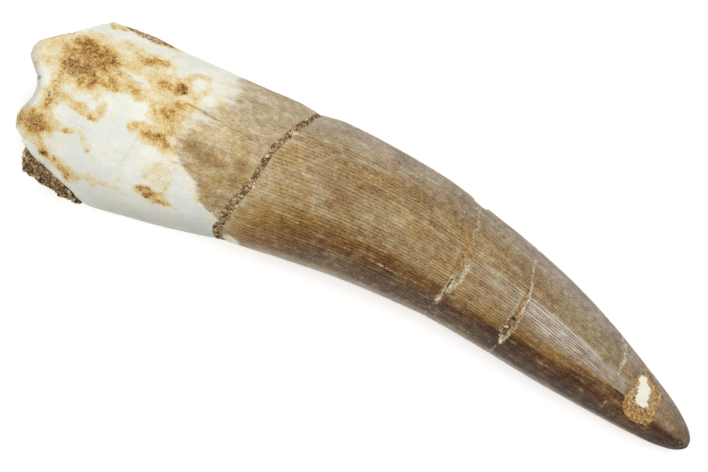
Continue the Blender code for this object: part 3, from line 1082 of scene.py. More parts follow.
    def carve(self, skin: Skin) -> None:
        """Adds the relief: lumps, dip to the break, hairlines and pits.

        Args:
            skin: the root's skin, which is changed.
        """
        x, angle, base = skin.x, skin.angle, skin.base
        lines, pits = skin.mask(self.hairlines), skin.mask(self.pits)
        lumps = 0.05 * rough(base, 2.6, 61) + 0.02 * rough(base, 0.6, 62, 3)
        out = np.zeros(x.shape)
        out[self.skin_rows] = 1
        skin.lift += out * (lumps - self.hairline_depth * lines - self.pit_depth * pits)
        skin.lift += BREAK.dip(x, angle) * (1 + skin.sink / BREAK.depth)
        skin.lift -= BREAK.edge_worn * out * fade(BREAK.edge_round, 0, skin.from_break(-1))
        broken = fade(*self.broken_width, x - self.crest(angle)) * out
        skin.lift += self.broken_height * broken * rough(base, 0.3, 63, 2)

    def mark(self, skin: Skin) -> None:
        """Works out the marks that lead the finish.

        Args:
            skin: the root's skin, which is changed.
        """
        x, angle, base = skin.x, skin.angle, skin.base
        edge = around(self.enamel_edge, angle) + 0.5 * rough(base, 1.1, 71, 3)
        blend = 0.6 + 1.5 * fade(-10, 12, angle) * fade(75, 45, angle)
        enamel = fade(-0.5, 1, (x - edge) / blend)
        skin.add(Mark.ENAMEL, enamel)
        tone = 0.14 + 0.24 * fade(11.5, 18, x) - 0.1 * fade(-5, 15, angle) * fade(100, 60, angle)
        skin.add(Mark.TONE, tone + skin.mask(self.tans) + 0.1 * rough(base, 1.4, 75, 3))
        # Painted reflection: the upper, convex side of the root's enamel is tinted purplish grey for the
        # white surround's reflection
        skin.add(Mark.MAUVE, 0.4 * fade(5, 50, angle) * fade(125, 88, angle))
        broad, small = rough(base, 0.6, 73, 4), rough(base, 0.34, 74, 4)
        wash = fade(0.0, 0.95, skin.mask(self.washes) + 0.55 * broad + 0.2 * small)
        core = fade(0.15, 1.05, skin.mask(self.stains) + 0.5 * broad + 0.5 * small)
        skin.add(Mark.STAIN, 0.3 * wash + 0.35 * core)
        # Painted shade: the root darkens towards its lower side
        skin.add(Mark.DARK, 0.3 * fade(-30, -80, angle) * fade(5, 9, x))
        # Painted shade: the bevel at the broken end is dimmed into a grey rim
        rim = fade(0.45, 0.2, x - self.crest(angle)) * fade(-55, -35, angle) * fade(35, 10, angle)
        skin.add(Mark.DARK, 0.2 * rim)
        skin.add(Mark.STAIN, 0.07 * fade(1.2, 0, np.abs(x - edge + 0.3)))
        skin.add(Mark.DARK, skin.mask(self.pits))
        skin.add(Mark.DARK, skin.mask(self.hairlines))
        skin.add(Mark.PALE, 0.5 * skin.margin(-1, seed=72) * enamel)
        deep = (skin.sink < -0.01) | (skin.share < self.hollow_share + 0.02)
        skin.add(Mark.RUST, np.where(deep, 0.8, 0))

    def build(self, finish: bpy.types.Material) -> list[bpy.types.Object]:
        """Makes the root.

        Args:
            finish: the tooth's material.

        Returns:
            The root's piece.
        """
        skin = self.lay_out()
        self.carve(skin)
        self.mark(skin)
        return [skin.piece("tooth_root", (self.hollow_end, float(skin.x[-1].mean())), finish)]


@dataclass(frozen=True)
class Crack:
    """An open crack across the crown: where it runs, how deep and wide it is, and what is in it."""

    line: Pairs
    depth: Pairs
    half: float
    seed: int
    jags: float = 0.09

    def middle(self, angle: Array) -> Array:
        """Where the crack lies at each angle, with small jags."""
        return around(self.line, angle) + self.jags * rough(ring(angle, 5.0), 0.8, self.seed, 3)

    def opening(self, x: Array, angle: Array) -> Array:
        """How open the crack is. It is narrower where it is shallow.

        Args:
            x: places along the tooth.
            angle: places round it.

        Returns:
            Shares from 0 at the crack's edges to 1 in its middle.
        """
        depth = around(self.depth, angle)
        half = self.half * np.clip(0.35 + depth / 0.35, 0.3, 1.1)
        return fade(1.0, 0.35, np.abs(x - self.middle(angle)) / half)


@dataclass
class Crown:
    """The brown striated crown, from the break to the worn tip."""

    columns: int = 560
    skin_counts: tuple[int, ...] = (12, 36, 24, 14, 20, 18, 7, 3, 20, 3)
    stria_count: int = 124
    stria_height: float = 0.022
    stria_start: tuple[float, float] = (13.5, 19.0)
    stria_end: tuple[float, float] = (53.0, 50.0)
    tones: Pairs = (
        (16.0, 0.34), (18.5, 0.42), (22.0, 0.5), (26.0, 0.54), (32.0, 0.56), (33.5, 0.56), (38.0, 0.61),
        (42.0, 0.63), (44.5, 0.63), (47.0, 0.57), (49.0, 0.62), (51.0, 0.68), (53.5, 0.72),
    )
    dark_edge: Pairs = (
        (17.0, -34), (20.0, -22), (25.0, -24), (34.0, -30), (38.0, -30), (41.0, -27), (44.5, -20),
        (47.6, -5), (50.0, -6), (53.0, -4),
    )
    dark_soft: Pairs = ((17.0, 16), (30.0, 13), (38.0, 6), (43.0, 3), (47.6, 3), (50.0, 8), (53.0, 14))
    facet_edge: Pairs = ((33.0, 12.0), (36.0, 16.0), (39.5, 14.0), (43.0, 15.0), (46.5, 20.0))
    facet_low: Pairs = ((33.0, -20.0), (38.0, -17.0), (41.0, -14.0), (44.5, -13.0), (47.6, -5.0))
    chip: tuple = (
        Spot(48.95, 1.35, 1.25, 1.45, 1, 0, 0.2), Spot(48.5, 2.65, 0.75, 0.9, 1, 0, 0.2),
        Spot(49.3, 2.2, 0.85, 0.8, 1, 0, 0.2), Spot(49.55, 0.65, 0.7, 0.7, 1, 0, 0.2),
    )
    chip_depth: float = 0.2
    flake: tuple[float, float, float, float] = (31.9, 88.0, 0.7, 24.0)
    flake_depth: float = 0.14
    crack_cut: float = 0.6
    small_crack_depth: float = 0.05
    slit_depth: float = 0.12
    lip_height: float = 0.03
    facet_cut: float = 0.9
    step_depth: float = 0.07
    cracks: tuple[Crack, ...] = (
        Crack(
            (
                (-180, 32.6), (-90, 32.85), (-41, 32.9), (-18, 33.05), (-5, 33.05), (5, 32.8),
                (21, 32.85), (36, 32.55), (90, 32.1), (180, 32.6),
            ),
            ((-90, 0.04), (-60, 0.1), (-35, 0.28), (5, 0.3), (25, 0.08), (90, 0.05)),
            0.36, 81,
        ),
        Crack(
            (
                (-180, 38.0), (-90, 38.4), (-38, 38.4), (-15, 38.28), (-2, 38.22), (12, 38.15),
                (28, 37.8), (44, 37.2), (90, 36.9), (180, 37.5),
            ),
            ((-90, 0.04), (-52, 0.12), (-38, 0.26), (10, 0.28), (22, 0.08), (90, 0.05)),
            0.3, 82,
        ),
    )
    small_crack: Trail = Trail(((45.75, 4.9), (46.3, 4.3), (46.46, 3.4), (46.5, 2.3)), 0.07, 0.9)
    white_chip: tuple = (
        Trail(((48.4, 3.02), (48.62, 2.72)), 0.34, 1.0, 0.12),
        Trail(((48.74, 2.4), (48.88, 1.75)), 0.46, 1.0, 0.12),
        Trail(((48.82, 1.42), (49.22, 1.38)), 0.26, 1.0, 0.12),
    )
    fills: tuple = (
        Spot(33.05, 5.05, 0.42, 0.95, 0.85), Spot(33.16, 3.3, 0.14, 0.24, 0.8),
        Spot(38.15, 3.6, 0.24, 1.2, 0.75), Spot(46.3, 3.2, 0.16, 1.1, 0.3),
        Spot(45.85, 4.2, 0.3, 0.25, 0.3), Spot(33.05, 6.1, 0.3, 0.3, 0.5),
    )
    lips: tuple = (
        Trail(((33.3, 4.9), (33.48, 4.2), (33.42, 3.5), (33.2, 2.9), (33.02, 2.3)), 0.25, 0.7),
        Trail(((32.75, 3.4), (32.72, 2.6), (32.66, 1.8), (32.52, 1.3)), 0.06, 0.56),
        Trail(
            ((37.87, 4.4), (37.85, 3.5), (37.75, 2.7), (37.58, 2.1), (37.6, 1.5), (37.95, 0.7)), 0.11, 0.56
        ),
        Trail(((38.4, 4.4), (38.45, 3.2), (38.42, 2.2), (38.2, 1.2), (37.95, 0.7)), 0.16, 0.62),
        Trail(((37.67, 7.1), (37.64, 6.6), (37.87, 6.1), (38.25, 5.4), (38.3, 4.7)), 0.11, 0.62),
        Trail(((32.56, 8.7), (32.56, 8.1), (32.86, 7.4), (32.8, 6.9), (33.05, 6.1)), 0.13, 0.58),
        Trail(((37.8, 0.3), (37.75, -0.1)), 0.07, 0.6),
        Trail(((46.5, 0.6), (46.6, 0.2), (46.55, -0.3)), 0.1, 0.6),
        Trail(((45.7, 4.9), (46.3, 4.35), (46.5, 3.4), (46.55, 2.4)), 0.13, 0.8),
        Spot(37.87, 1.9, 0.15, 0.17, 1.0), Trail(((32.3, 0.75), (32.6, 0.5), (32.8, 0.55)), 0.05, 0.4),
        Trail(((33.9, 5.12), (35.5, 4.97), (37.5, 4.67), (39.3, 4.4), (41.0, 4.1)), 0.055, 0.68),
    )
    slits: tuple = (
        Trail(((32.88, 3.1), (32.84, 2.6), (32.82, 2.05)), 0.036, 0.85, 0.6),
        Spot(38.02, 2.55, 0.14, 0.13, 1.0),
        Trail(((37.98, 2.1), (38.08, 1.9), (37.95, 1.68), (37.78, 1.75)), 0.05, 1.0, 0.6),
        Trail(((44.4, 1.42), (46.0, 1.38), (47.5, 1.3), (47.75, 0.9)), 0.05, 0.7),
        Spot(34.9, 7.5, 0.08, 0.06, 0.9),
    )
    flecks: tuple = (
        Trail(((20.0, 1.85), (22.0, 1.8), (24.5, 1.75), (27.5, 1.8), (32.2, 1.85)), 0.06, 0.52),
        Trail(((23.0, 2.0), (26.0, 1.95), (30.5, 1.6)), 0.05, 0.36),
        Trail(((19.4, -0.23), (21.3, 0.1), (26, 0.4), (36, 0.3)), 0.05, 0.4),
        Trail(((19.0, 0.2), (24.0, 0.8), (30.0, 1.0), (36.0, 0.6)), 0.8, 0.14),
        Spot(32.0, 1.4, 1.0, 0.3, 0.28), Trail(((31.35, 8.0), (31.8, 7.75)), 0.06, 0.85),
        Spot(24.4, 8.4, 0.12, 0.1, 0.6), Spot(27.9, 8.05, 0.12, 0.1, 0.6),
        Spot(31.1, 6.3, 0.12, 0.1, 0.5), Spot(24.3, 4.75, 0.2, 0.08, 0.45),
        Trail(((21.8, 2.65), (22.3, 3.0)), 0.05, 0.6), Spot(29.9, 2.5, 0.3, 0.12, 0.3),
        Spot(31.5, 4.35, 0.4, 0.3, 0.3), Spot(17.7, -1.4, 0.75, 0.3, 1.0),
        Trail(((35.2, 7.6), (35.6, 7.4)), 0.1, 0.4), Spot(44.2, 5.1, 0.3, 0.1, 0.3),
        Spot(53.0, 0.2, 0.6, 0.6, 0.4),
    )

    def crests(self, x: Array, angle: Array, grain: Array) -> Array:
        """The striae: 1 on a crest and 0 in a valley.

        It is a cosine round the section, raised to a power so that crests are narrow, with its
        phase shaken by slow waves and noise, and each ridge stronger and weaker along its length.

        Args:
            x: places along the tooth.
            angle: places round it.
            grain: the lengthwise coordinates.

        Returns:
            Shares from 0 to 1.
        """
        turn = np.radians(angle)
        shake = 0.5 * np.sin(3 * turn + 1.0) + 0.35 * np.sin(7 * turn + 2.2) + 0.3 * np.sin(17 * turn + 4.0)
        phase = self.stria_count * turn + 2 * np.pi * (0.3 * shake + 0.22 * rough(grain, 0.8, 91, 2))
        strength = 0.62 + 0.38 * rough(grain, 0.3, 92, 1)
        ends = fade(*self.stria_start, x) * fade(*self.stria_end, x)
        return strength * ends * (0.5 + 0.5 * np.cos(phase)) ** 1.4

    def lay_out(self) -> Skin:
        """Lays the grid: the wall of the break, then rows that follow the cracks and the chip.

        Returns:
            The crown's skin before any relief.
        """
        angle = columns(self.columns)
        far = BREAK.side(angle, 1)
        first, second = (around(crack.line, angle) for crack in self.cracks)
        flat = np.ones(self.columns)
        tip = FORM.tip_x - FORM.tip_rounding * (1 - np.sin(np.radians(np.linspace(0, 87, 15))))
        lines = [far, far + 1.2, first - 0.55, first + 0.75, second - 0.5, second + 0.5, 45.6 * flat]
        lines += [46.7 * flat, 47.5 * flat, 50.4 * flat, tip[0] * flat]
        skin = rows(lines, self.skin_counts)
        x = np.concatenate(
            [
                BREAK.middle(angle)[None] + 0.01,
                np.repeat(far[None], BREAK.wall_rows, axis=0),
                skin,
                tip[1:, None] * flat,
            ]
        )
        sink = np.zeros_like(x)
        sink[0] = -BREAK.depth
        sink[1 : BREAK.wall_rows + 1] = BREAK.wall()
        return Skin(x, np.broadcast_to(angle, x.shape), np.ones_like(x), sink)

    def lost_flake(self, skin: Skin) -> Array:
        """Where the flake is lost, with an uneven rim: 1 over the hollow's floor and 0 outside.

        The flake is known by its x and angle, half its length, and half its spread in degrees.

        Args:
            skin: the crown's skin.

        Returns:
            Shares from 0 to 1.
        """
        x, angle, length, spread = self.flake
        far = np.hypot((skin.x - x) / length, turned(skin.angle, angle) / spread)
        return fade(1.0, 0.82, far + 0.16 * rough(skin.base, 0.7, 93, 3))

    def carve(self, skin: Skin) -> None:
        """Adds the relief: striae, the dip to the break, cracks, facet, chip and flake.

        Args:
            skin: the crown's skin, which is changed.
        """
        x, angle, base = skin.x, skin.angle, skin.base
        out = np.where(skin.sink < 0, 0.0, 1.0)
        self.crest = self.crests(x, angle, skin.grain)
        self.hole, self.missing = skin.mask(self.chip) * skin.upper, self.lost_flake(skin)
        self.open = [crack.opening(x, angle) for crack in self.cracks]
        edge, low = along(self.facet_edge, x), along(self.facet_low, x)
        self.facet = fade(33.0, 35.0, x) * fade(47.8, 46.8, x)
        half, off = (edge - low) / 2, angle - (edge + low) / 2
        chord = np.cos(np.radians(half)) / np.cos(np.radians(np.clip(off, -half, half))) - 1
        flat = self.facet_cut * along(FORM.half_width, x) * self.facet * chord * (np.abs(off) < half)
        below = fade(edge + 0.8, edge - 1.6, angle) * fade(-75, -35, angle)
        self.ledge = self.facet * fade(2.0, 0.3, np.abs(angle - edge)) * fade(46.5, 42, x)
        stria = self.stria_height * (1 - 0.3 * self.facet * below) * (self.crest - 0.3)
        lumps = 0.03 * rough(base, 2.4, 94) + 0.008 * rough(base, 0.5, 95, 2)
        depths = [around(crack.depth, angle) for crack in self.cracks]
        cut = sum(self.crack_cut * share * depth for share, depth in zip(self.open, depths))
        step = fade(low + 1, low - 1.5, angle) * fade(-60, -30, angle)
        skin.lift += out * (stria * (1 - self.hole) + lumps - cut)
        skin.lift += BREAK.dip(x, angle) * (1 + skin.sink / BREAK.depth)
        skin.lift -= out * (self.chip_depth * self.hole + self.flake_depth * self.missing)
        skin.lift += 0.04 * out * self.hole * rough(base, 0.35, 96, 2)
        skin.lift += flat - self.small_crack_depth * skin.mask([self.small_crack])
        stepped = self.step_depth * step * fade(41, 45, x) * fade(48, 47.5, x)
        skin.lift -= stepped + self.slit_depth * skin.mask(self.slits)
        skin.lift -= BREAK.edge_worn * out * fade(BREAK.edge_round, 0, skin.from_break(1))
        skin.lift += self.lip_height * skin.mask(self.lips)

    def mark(self, skin: Skin) -> None:
        """Works out the marks that lead the finish.

        Args:
            skin: the crown's skin, which is changed.
        """
        x, angle, base = skin.x, skin.angle, skin.base
        soft = along(self.dark_soft, x)
        past = (angle - along(self.dark_edge, x)) / soft + 0.7 * rough(skin.grain, 0.8, 97, 3)
        seen = fade(-175, -120, angle) * fade(15.5, 19, x)
        low = fade(0.6, -0.8, past) * seen
        band = fade(-34, -50, angle) * fade(-72, -60, angle) * fade(19, 24, x)
        strip = 12 * fade(34, 39, x) * fade(47.6, 44.5, x) / soft
        gold = fade(0.6, -0.8, past - strip) * seen
        # rim: the lower edge, made lighter and purplish grey and kept free of gold, as a painted reflection
        # of the white table
        rim = fade(-60, -80, angle) * fade(-115, -95, angle) * fade(16.5, 20, x)
        tone = along(self.tones, x) + 0.14 * rough(base, 2.2, 98, 3)
        tone = tone + (0.2 + 0.08 * fade(24, 34, x)) * low + 0.1 * band - 0.3 * rim
        skin.add(Mark.ENAMEL, np.ones_like(tone))
        skin.add(Mark.TONE, tone)
        skin.add(Mark.CREST, self.crest * (0.66 + 0.34 * fade(30, 38, x)))
        tipward = fade(33, 43, x) * (1 - gold)
        skin.add(Mark.GOLD, 0.72 * gold * (1 - rim) * (1 - 0.6 * band))
        # Upper, convex side tinted purplish grey as a painted reflection of the white surround; the tipward
        # share is the enamel's own greyer colour
        skin.add(Mark.MAUVE, 0.78 * fade(22, 68, angle) * fade(125, 88, angle) + 0.4 * tipward)
        # Painted reflection on the lower edge, and some purplish grey over the band above it
        skin.add(Mark.MAUVE, either(rim, 0.35 * band))
        shine = fade(20, 12, angle) * fade(-16, 4, angle) * fade(36, 41, x)
        # gloss: real coat and smoothness on the facet, which also decides where the painted highlight shows
        skin.add(Mark.GLOSS, 0.12 + 0.85 * self.facet * shine)
        # Painted reflection: the facet's upper half is tinted purplish grey as its sheen
        skin.add(Mark.MAUVE, 0.45 * self.facet * fade(20, 12, angle) * fade(-6, 6, angle))
        skin.add(Mark.PALE, 0.2 * self.ledge)
        fills, bare = skin.mask(self.fills), skin.mask(self.white_chip) * skin.upper
        for share, crack in zip(self.open, self.cracks):
            depth = around(crack.depth, angle)
            skin.add(Mark.PALE, 0.45 * share * fade(0.05, 0.2, depth) * (1 - fills))
        skin.add(Mark.RUST, fills)
        skin.add(Mark.DARK, 0.22 * fills)
        skin.add(Mark.PALE, skin.mask(self.lips))
        skin.add(Mark.PALE, skin.mask(self.flecks))
        skin.add(Mark.DARK, 0.25 * skin.mask([self.small_crack]))
        skin.add(Mark.DARK, skin.mask(self.slits))
        skin.add(Mark.RUST, fade(0.2, 0.7, self.hole))
        bottom = fade(1.8, 0.4, skin.plan[..., 1])
        skin.add(Mark.PALE, 0.4 * fade(0.35, 0, np.abs(self.hole - 0.4)) * bottom)
        skin.add(Mark.DARK, 0.35 * fade(0.45, 0, np.abs(self.hole - 0.5)) * (1 - bottom))
        skin.add(Mark.BARE, bare)
        skin.add(Mark.PALE, 0.47 * skin.margin(1, seed=99))
        skin.add(Mark.RUST, np.where(skin.sink < 0, 0.8, 0))

    def build(self, finish: bpy.types.Material) -> list[bpy.types.Object]:
        """Makes the crown.

        Args:
            finish: the tooth's material.

        Returns:
            The crown's piece.
        """
        skin = self.lay_out()
        self.carve(skin)
        self.mark(skin)
        return [skin.piece("tooth_crown", (float(skin.x[0].mean()), FORM.tip_x), finish)]


@dataclass
class BreakSand:
    """The cemented sand in the break: a bed, and the grains that stand out of it."""

    columns: int = 640
    clearance: float = 0.05
    sink: float = 0.07
    sorts: tuple = ((9000, 0.16, (0.08, 0.14), 0.03), (16000, 0.09, (0.035, 0.06), 0.0))
    big_radius: float = 0.19
    big_tint: float = 0.95
    big_sink: float = 0.12
    big_grains: Pairs = ((17.33, 5.2), (17.4, 2.66), (18.4, 7.5), (16.9, 0.9))

    def bed(self) -> Array:
        """The bed's closed section at each angle: two walls, a floor and a rough top.

        Returns:
            Rows x columns x 3 points, whose last row joins the first.
        """
        angle = columns(self.columns)
        middle, half = BREAK.middle(angle), around(BREAK.width, angle) / 2 - self.clearance / 2
        top = BREAK.dip(middle, angle) - self.sink
        across = np.array([-1.0, *np.linspace(-1, 1, 11), 1.0])[:, None]
        x = middle + half * across
        lift = np.broadcast_to(top, x.shape).copy()
        lift[[0, -1]] = self.clearance - BREAK.depth
        wide = np.broadcast_to(angle, x.shape)
        grains = 0.04 * rough(FORM.surface(x, wide), 0.22, 101, 2)
        lift[1:-1] += grains[1:-1]
        return FORM.surface(x, wide, lift=lift)

    def grains(self) -> Grains:
        """Lays spaced grains over the top, finer ones between them, and a few big ones.

        Each sort has how many are tried, the gap between them, their radii and how deep they sit.

        Returns:
            The grains.
        """
        sand = Grains(seed=102)
        for count, gap, radii, down in self.sorts:
            angle = sand.chance.uniform(-180, 180, count)
            across = sand.chance.uniform(-1, 1, count)
            radius = sand.chance.uniform(*radii, count)
            reach = np.maximum(around(BREAK.width, angle) / 2 - radius * 0.35, 0.02)
            x = BREAK.middle(angle) + across * reach
            lift = BREAK.dip(x, angle) - self.sink - down + sand.chance.uniform(-0.03, 0.03, count)
            lift -= 0.1 * fade(35, 15, np.abs(turned(angle, 90)))
            centres = FORM.surface(x, angle, lift=lift)
            kept = spaced(centres, gap)
            sand.lay(centres[kept], radius[kept])
        x, angle = FORM.under(*np.array(self.big_grains).T)
        centres = FORM.surface(x, angle, lift=BREAK.dip(x, angle) - self.big_sink)
        sand.lay(centres, np.full(len(x), self.big_radius), np.full(len(x), self.big_tint))
        return sand

    def build(self, bed: bpy.types.Material, grain: bpy.types.Material) -> list[bpy.types.Object]:
        """Makes the bed and its grains.

        Args:
            bed: the bed's material.
            grain: the grains' material.

        Returns:
            Both pieces.
        """
        grid = self.bed()
        faces = tube_faces(*grid.shape[:2], ends=False)
        pieces = [new_piece("break_sand_bed", grid.reshape(-1, 3), faces, {})]
        pieces.append(self.grains().piece("break_sand_grains"))
        for piece, material in zip(pieces, (bed, grain)):
            piece.data.materials.append(material)
            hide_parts("break_sand")
        return pieces


@dataclass
class RootRock:
    """The sandy rock in the root's hollow, and the grains of its broken end."""

    root: Root
    columns: int = 380
    share: float = 0.675
    end: float = 10.1
    clearance: float = 0.15
    proud: float = 0.08
    reach: Pairs = ((-180, 0.0), (-142, 0.0), (-124, 1.0), (-58, 1.0), (-50, 0.0), (180, 0.0))
    face: Pairs = (
        (-180, 1.9), (-120, 2.4), (-90, 2.5), (-78, 2.2), (-58, 1.75), (-50, 1.6), (0, 1.9), (90, 1.7),
    )
    bulge: float = 0.3
    turn: float = 0.6
    lump_height: float = 0.6
    lump_waves: int = 12
    lump_lengths: tuple[float, float] = (1.0, 2.6)
    lump_seed: int = 7
    hidden_rows: int = 14
    tries: int = 60000
    sorts: tuple = (
        ("root_rock_grains", 113, 0.2, (0.1, 0.16)), ("root_rock_fine_grains", 114, 0.152, (0.05, 0.08)),
    )

    def bullet(self, x: Array) -> Array:
        """The share of the section that the rock takes up at x: an ellipse's height along it."""
        return self.share * np.sqrt(np.clip(1 - (np.maximum(x, 0) / self.end) ** 2, 0, 1))

    def lumps(self, points: Array) -> Array:
        """Height of the rock's lumps: the mean of seeded waves that cross one another.

        Args:
            points: places in millimetres, with x, y, z as the last axis.

        Returns:
            The height at each place.
        """
        chance = np.random.default_rng(self.lump_seed)
        waves = chance.normal(size=(self.lump_waves, 3))
        lengths = chance.uniform(*self.lump_lengths, size=(self.lump_waves, 1))
        waves *= 2 * np.pi / lengths / np.linalg.norm(waves, axis=1, keepdims=True)
        starts = chance.uniform(0, 6, self.lump_waves)
        return self.lump_height * np.sin(points @ waves.T + starts).mean(axis=-1)

    def grid(self) -> Array:
        """The rock's skin: in the hollow, out along the lost wall, then across its broken end.

        Returns:
            Rows x columns x 3 points, from the inner end to the middle of the broken face.
        """
        angle = columns(self.columns)
        reach, face = around(self.reach, angle), around(self.face, angle)
        wall = self.root.crest(angle) - self.clearance
        shoulder = np.where(reach > 0, wall, face + self.turn / 2)
        inner_end = np.maximum(shoulder + self.turn / 2, face + self.turn)
        wide = np.broadcast_to

        share = np.linspace(0.04, 1, self.hidden_rows)[:, None]
        x = self.end + (inner_end - self.end) * share
        inside = FORM.surface(x, wide(angle, x.shape), share=self.bullet(x))

        share = np.linspace(1, 0, 34)[:, None]
        x = face + (shoulder - face) * share
        round_it = wide(angle, x.shape)
        inner = self.bullet(x)
        outer = inner + (1.0 - inner) * reach
        smooth = FORM.surface(x, round_it, share=outer)
        lift = reach * (self.proud * (1 - share) + self.lumps(smooth) + 0.07 * rough(smooth, 0.35, 111, 2))
        side = FORM.surface(x, round_it, share=outer, lift=lift)

        share = np.linspace(1, 0.02, 46)[1:, None]
        at = wide(face, (len(share), self.columns))
        round_it, size = wide(angle, at.shape), outer[-1] * share
        flat = FORM.surface(at, round_it, share=size)
        bulge = self.lumps(flat) - self.bulge * (1 - share) + 0.09 * rough(flat, 0.35, 112, 2)
        end = FORM.surface(at + bulge, round_it, share=size, lift=lift[-1] * share)
        return np.concatenate([inside, side, end])

    def grains(self, grid: Array, seed: int, gap: float, radius: tuple[float, float]) -> Grains:
        """Lays spaced grains over the part of the skin that can be seen.

        Args:
            grid: the rock's skin.
            seed: starts the grains' chance.
            gap: the side of the cubes that hold one grain each.
            radius: the smallest and the largest.

        Returns:
            The grains.
        """
        sand = Grains(seed)
        seen = grid[self.hidden_rows :]
        row = sand.chance.integers(0, seen.shape[0], self.tries)
        column = sand.chance.integers(0, seen.shape[1], self.tries)
        centres = seen[row, column] + sand.chance.normal(0, 0.02, (self.tries, 3))
        sand.scatter(centres, gap, radius)
        return sand

    def build(self, bed: bpy.types.Material, grain: bpy.types.Material) -> list[bpy.types.Object]:
        """Makes the rock and its grains, a piece for each sort: its name, seed, gap and radii.

        Args:
            bed: the rock's material.
            grain: the grains' material.

        Returns:
            The rock, its grains and the finer ones between them.
        """
        grid = self.grid()
        ends = [FORM.centre(self.end), grid[-1].mean(axis=0)]
        faces = tube_faces(*grid.shape[:2], ends=True)
        pieces = [new_piece("root_rock", np.vstack([grid.reshape(-1, 3), ends]), faces, {})]
        for name, seed, gap, radius in self.sorts:
            pieces.append(self.grains(grid, seed, gap, radius).piece(name))
        for piece, material in zip(pieces, (bed, grain, grain)):
            piece.data.materials.append(material)
            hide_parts("root_matrix_core")
        return pieces


@dataclass
class RootCrust:
    """Sand that sticks to the root: a crust along its upper edge and grains in the stains."""

    crust_x: tuple[float, float] = (4.0, 8.6)
    crust_angle: tuple[float, float] = (62.0, 92.0)
    beds: tuple = (
        Spot(2.55, 4.9, 1.2, 1.0, 0.5), Spot(1.5, -0.2, 0.9, 0.6, 0.5), Spot(1.4, 6.4, 0.7, 0.4, 0.6),
        Spot(9.8, 6.5, 0.4, 0.3, 0.5), Spot(1.7, 2.3, 0.35, 1.6, 0.3),
    )
    pebbles: Pairs = ((1.34, 5.46), (1.9, 5.1))
    crust_tries: int = 9000
    crust_gap: float = 0.13
    crust_radius: tuple[float, float] = (0.05, 0.09)
    crust_tint: tuple[float, float] = (0.15, 0.7)
    bed_tries: int = 30000
    bed_gap: float = 0.16
    bed_radius: tuple[float, float] = (0.03, 0.06)
    bed_tint: tuple[float, float] = (0.35, 1.0)
    pebble_radius: float = 0.13
    pebble_tint: float = 0.88

    def build(self, grain: bpy.types.Material) -> list[bpy.types.Object]:
        """Makes the crust's grains.

        Args:
            grain: the grains' material.

        Returns:
            The piece.
        """
        sand = Grains(seed=121)
        count = self.crust_tries
        x = sand.chance.uniform(*self.crust_x, count)
        angle = sand.chance.uniform(*self.crust_angle, count)
        middle = (x - np.mean(self.crust_x)) / np.ptp(self.crust_x) * 2
        inside = np.abs(turned(angle, 80)) / 10 < 1 - middle**2 + 0.4 * sand.chance.uniform(-1, 0, count)
        centres = FORM.surface(x[inside], angle[inside], lift=-0.03)
        sand.scatter(centres, self.crust_gap, self.crust_radius, self.crust_tint)
        spans = ((0, 11), (-2, 8))
        plan = np.stack([sand.chance.uniform(*span, self.bed_tries) for span in spans], axis=-1)
        for bed in self.beds:
            there = plan[bed.mask(plan) * sand.chance.uniform(0, 1, len(plan)) > 0.25]
            x, angle = FORM.under(*there.T)
            centres = FORM.surface(x, angle, lift=-0.01)
            sand.scatter(centres, self.bed_gap, self.bed_radius, self.bed_tint)
        x, angle = FORM.under(*np.array(self.pebbles).T)
        radius, tint = np.full(len(x), self.pebble_radius), np.full(len(x), self.pebble_tint)
        sand.lay(FORM.surface(x, angle), radius, tint)
        piece = sand.piece("root_crust_grains")
        piece.data.materials.append(grain)
        return [piece]


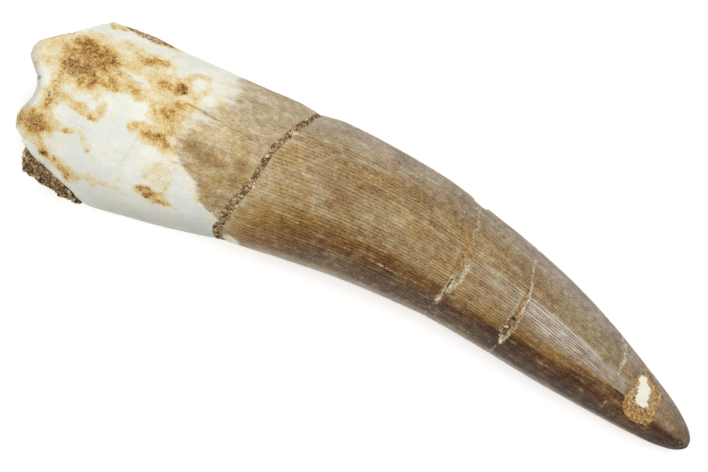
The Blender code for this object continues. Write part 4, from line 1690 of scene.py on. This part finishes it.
@dataclass
class Studio:
    """A white table under a large soft light, with the camera straight above."""

    camera_at: tuple[float, float, float] = (-0.96, -0.24, 404.5)
    camera_turn: float = 26.7
    lens: float = 284.8
    light_size: float = 600.0
    light_height: float = 550.0
    light_tilt: float = -10.0
    light_watts: float = 3.2
    sheen_size: float = 110.0
    sheen_tilt: float = 4.0
    sheen_watts: float = 0.35
    surround: float = 0.18
    table_white: float = 0.93
    table_glow: float = 0.35

    def table(self) -> None:
        """Lays the table: a flat square with a faint unevenness in its white."""
        mesh = bpy.data.meshes.new("table")
        corners = np.array([(-1, -1, 0), (1, -1, 0), (1, 1, 0), (-1, 1, 0)]) * 2000
        mesh.from_pydata((corners * MM).tolist(), [], [(0, 1, 2, 3)])
        table = bpy.data.objects.new("table", mesh)
        bpy.context.scene.collection.objects.link(table)
        g = Graph("white_table")
        white, grey = ((level, level, level, 1) for level in (self.table_white, self.table_white - 0.02))
        colour = g.ramp(g.noise(0.05, 2), ((0.3, white), (0.7, grey)))
        glow = {"Emission Color": (1, 1, 1, 1), "Emission Strength": self.table_glow}
        mesh.materials.append(g.finish(colour, 0.9, g.noise(0.5, 2) * 0.02, glow))

    def lights(self) -> None:
        """Hangs the soft light and the small one that gives the sheen, and sets the white surround."""
        world = bpy.data.worlds.new("surround")
        world.use_nodes = True
        world.node_tree.nodes["Background"].inputs["Color"].default_value = (1, 1, 1, 1)
        world.node_tree.nodes["Background"].inputs["Strength"].default_value = self.surround
        bpy.context.scene.world = world
        for name, size, tilt, watts in (
            ("softbox", self.light_size, self.light_tilt, self.light_watts),
            ("sheen", self.sheen_size, self.sheen_tilt, self.sheen_watts),
        ):
            lamp = bpy.data.lights.new(name, "AREA")
            lamp.shape, lamp.size, lamp.energy = "SQUARE", size * MM, watts
            light = bpy.data.objects.new(name, lamp)
            tilt, far = np.radians(tilt), self.light_height * MM
            light.location = (0, -np.sin(tilt) * far, np.cos(tilt) * far)
            light.rotation_euler = (tilt, 0, 0)
            bpy.context.scene.collection.objects.link(light)

    def camera(self) -> None:
        """Sets the camera as the photograph was taken."""
        camera = bpy.data.objects.new("camera", bpy.data.cameras.new("camera"))
        camera.location = [place * MM for place in self.camera_at]
        camera.rotation_euler = (0, 0, np.radians(self.camera_turn))
        camera.data.lens, camera.data.sensor_width = self.lens, 36.0
        camera.data.clip_start, camera.data.clip_end = 0.01, 10.0
        bpy.context.scene.collection.objects.link(camera)
        bpy.context.scene.camera = camera

    def build(self) -> None:
        """Sets up the whole studio."""
        self.table()
        self.lights()
        self.camera()
        bpy.context.scene.view_settings.view_transform = "Standard"


SAND_STOPS = stops(
    (0.0, 64, 47, 32), (0.2, 104, 80, 54), (0.42, 144, 114, 78), (0.62, 174, 142, 102),
    (0.78, 184, 146, 98), (0.92, 200, 178, 138), (1.0, 232, 220, 194),
)
ROCK_STOPS = stops(
    (0.0, 60, 44, 26), (0.3, 108, 84, 52), (0.55, 146, 118, 78), (0.8, 172, 144, 100),
    (1.0, 206, 188, 150),
)


def main() -> None:
    """Builds the pieces in order and reports each one."""
    logging.basicConfig(level=logging.INFO, format="%(message)s")
    fossil = FossilFinish().build()
    sand_bed = SandFinish("break_sand_bed", SAND_STOPS, bed=True, cell=6.0).build()
    sand_grain = SandFinish("sand_grains", SAND_STOPS).build()
    rock_bed = SandFinish("rock_bed", ROCK_STOPS, bed=True, cell=4.5).build()
    rock_grain = SandFinish("rock_grains", ROCK_STOPS).build()

    root = Root()
    pieces = root.build(fossil) + Crown().build(fossil)
    pieces += BreakSand().build(sand_bed, sand_grain)
    pieces += RootRock(root).build(rock_bed, rock_grain)
    pieces += RootCrust().build(sand_grain)
    for piece in pieces:
        piece.data.calc_loop_triangles()
        LOG.info("%s: %d triangles", piece.name, len(piece.data.loop_triangles))
    Studio().build()


if __name__ == "__main__":
    main()
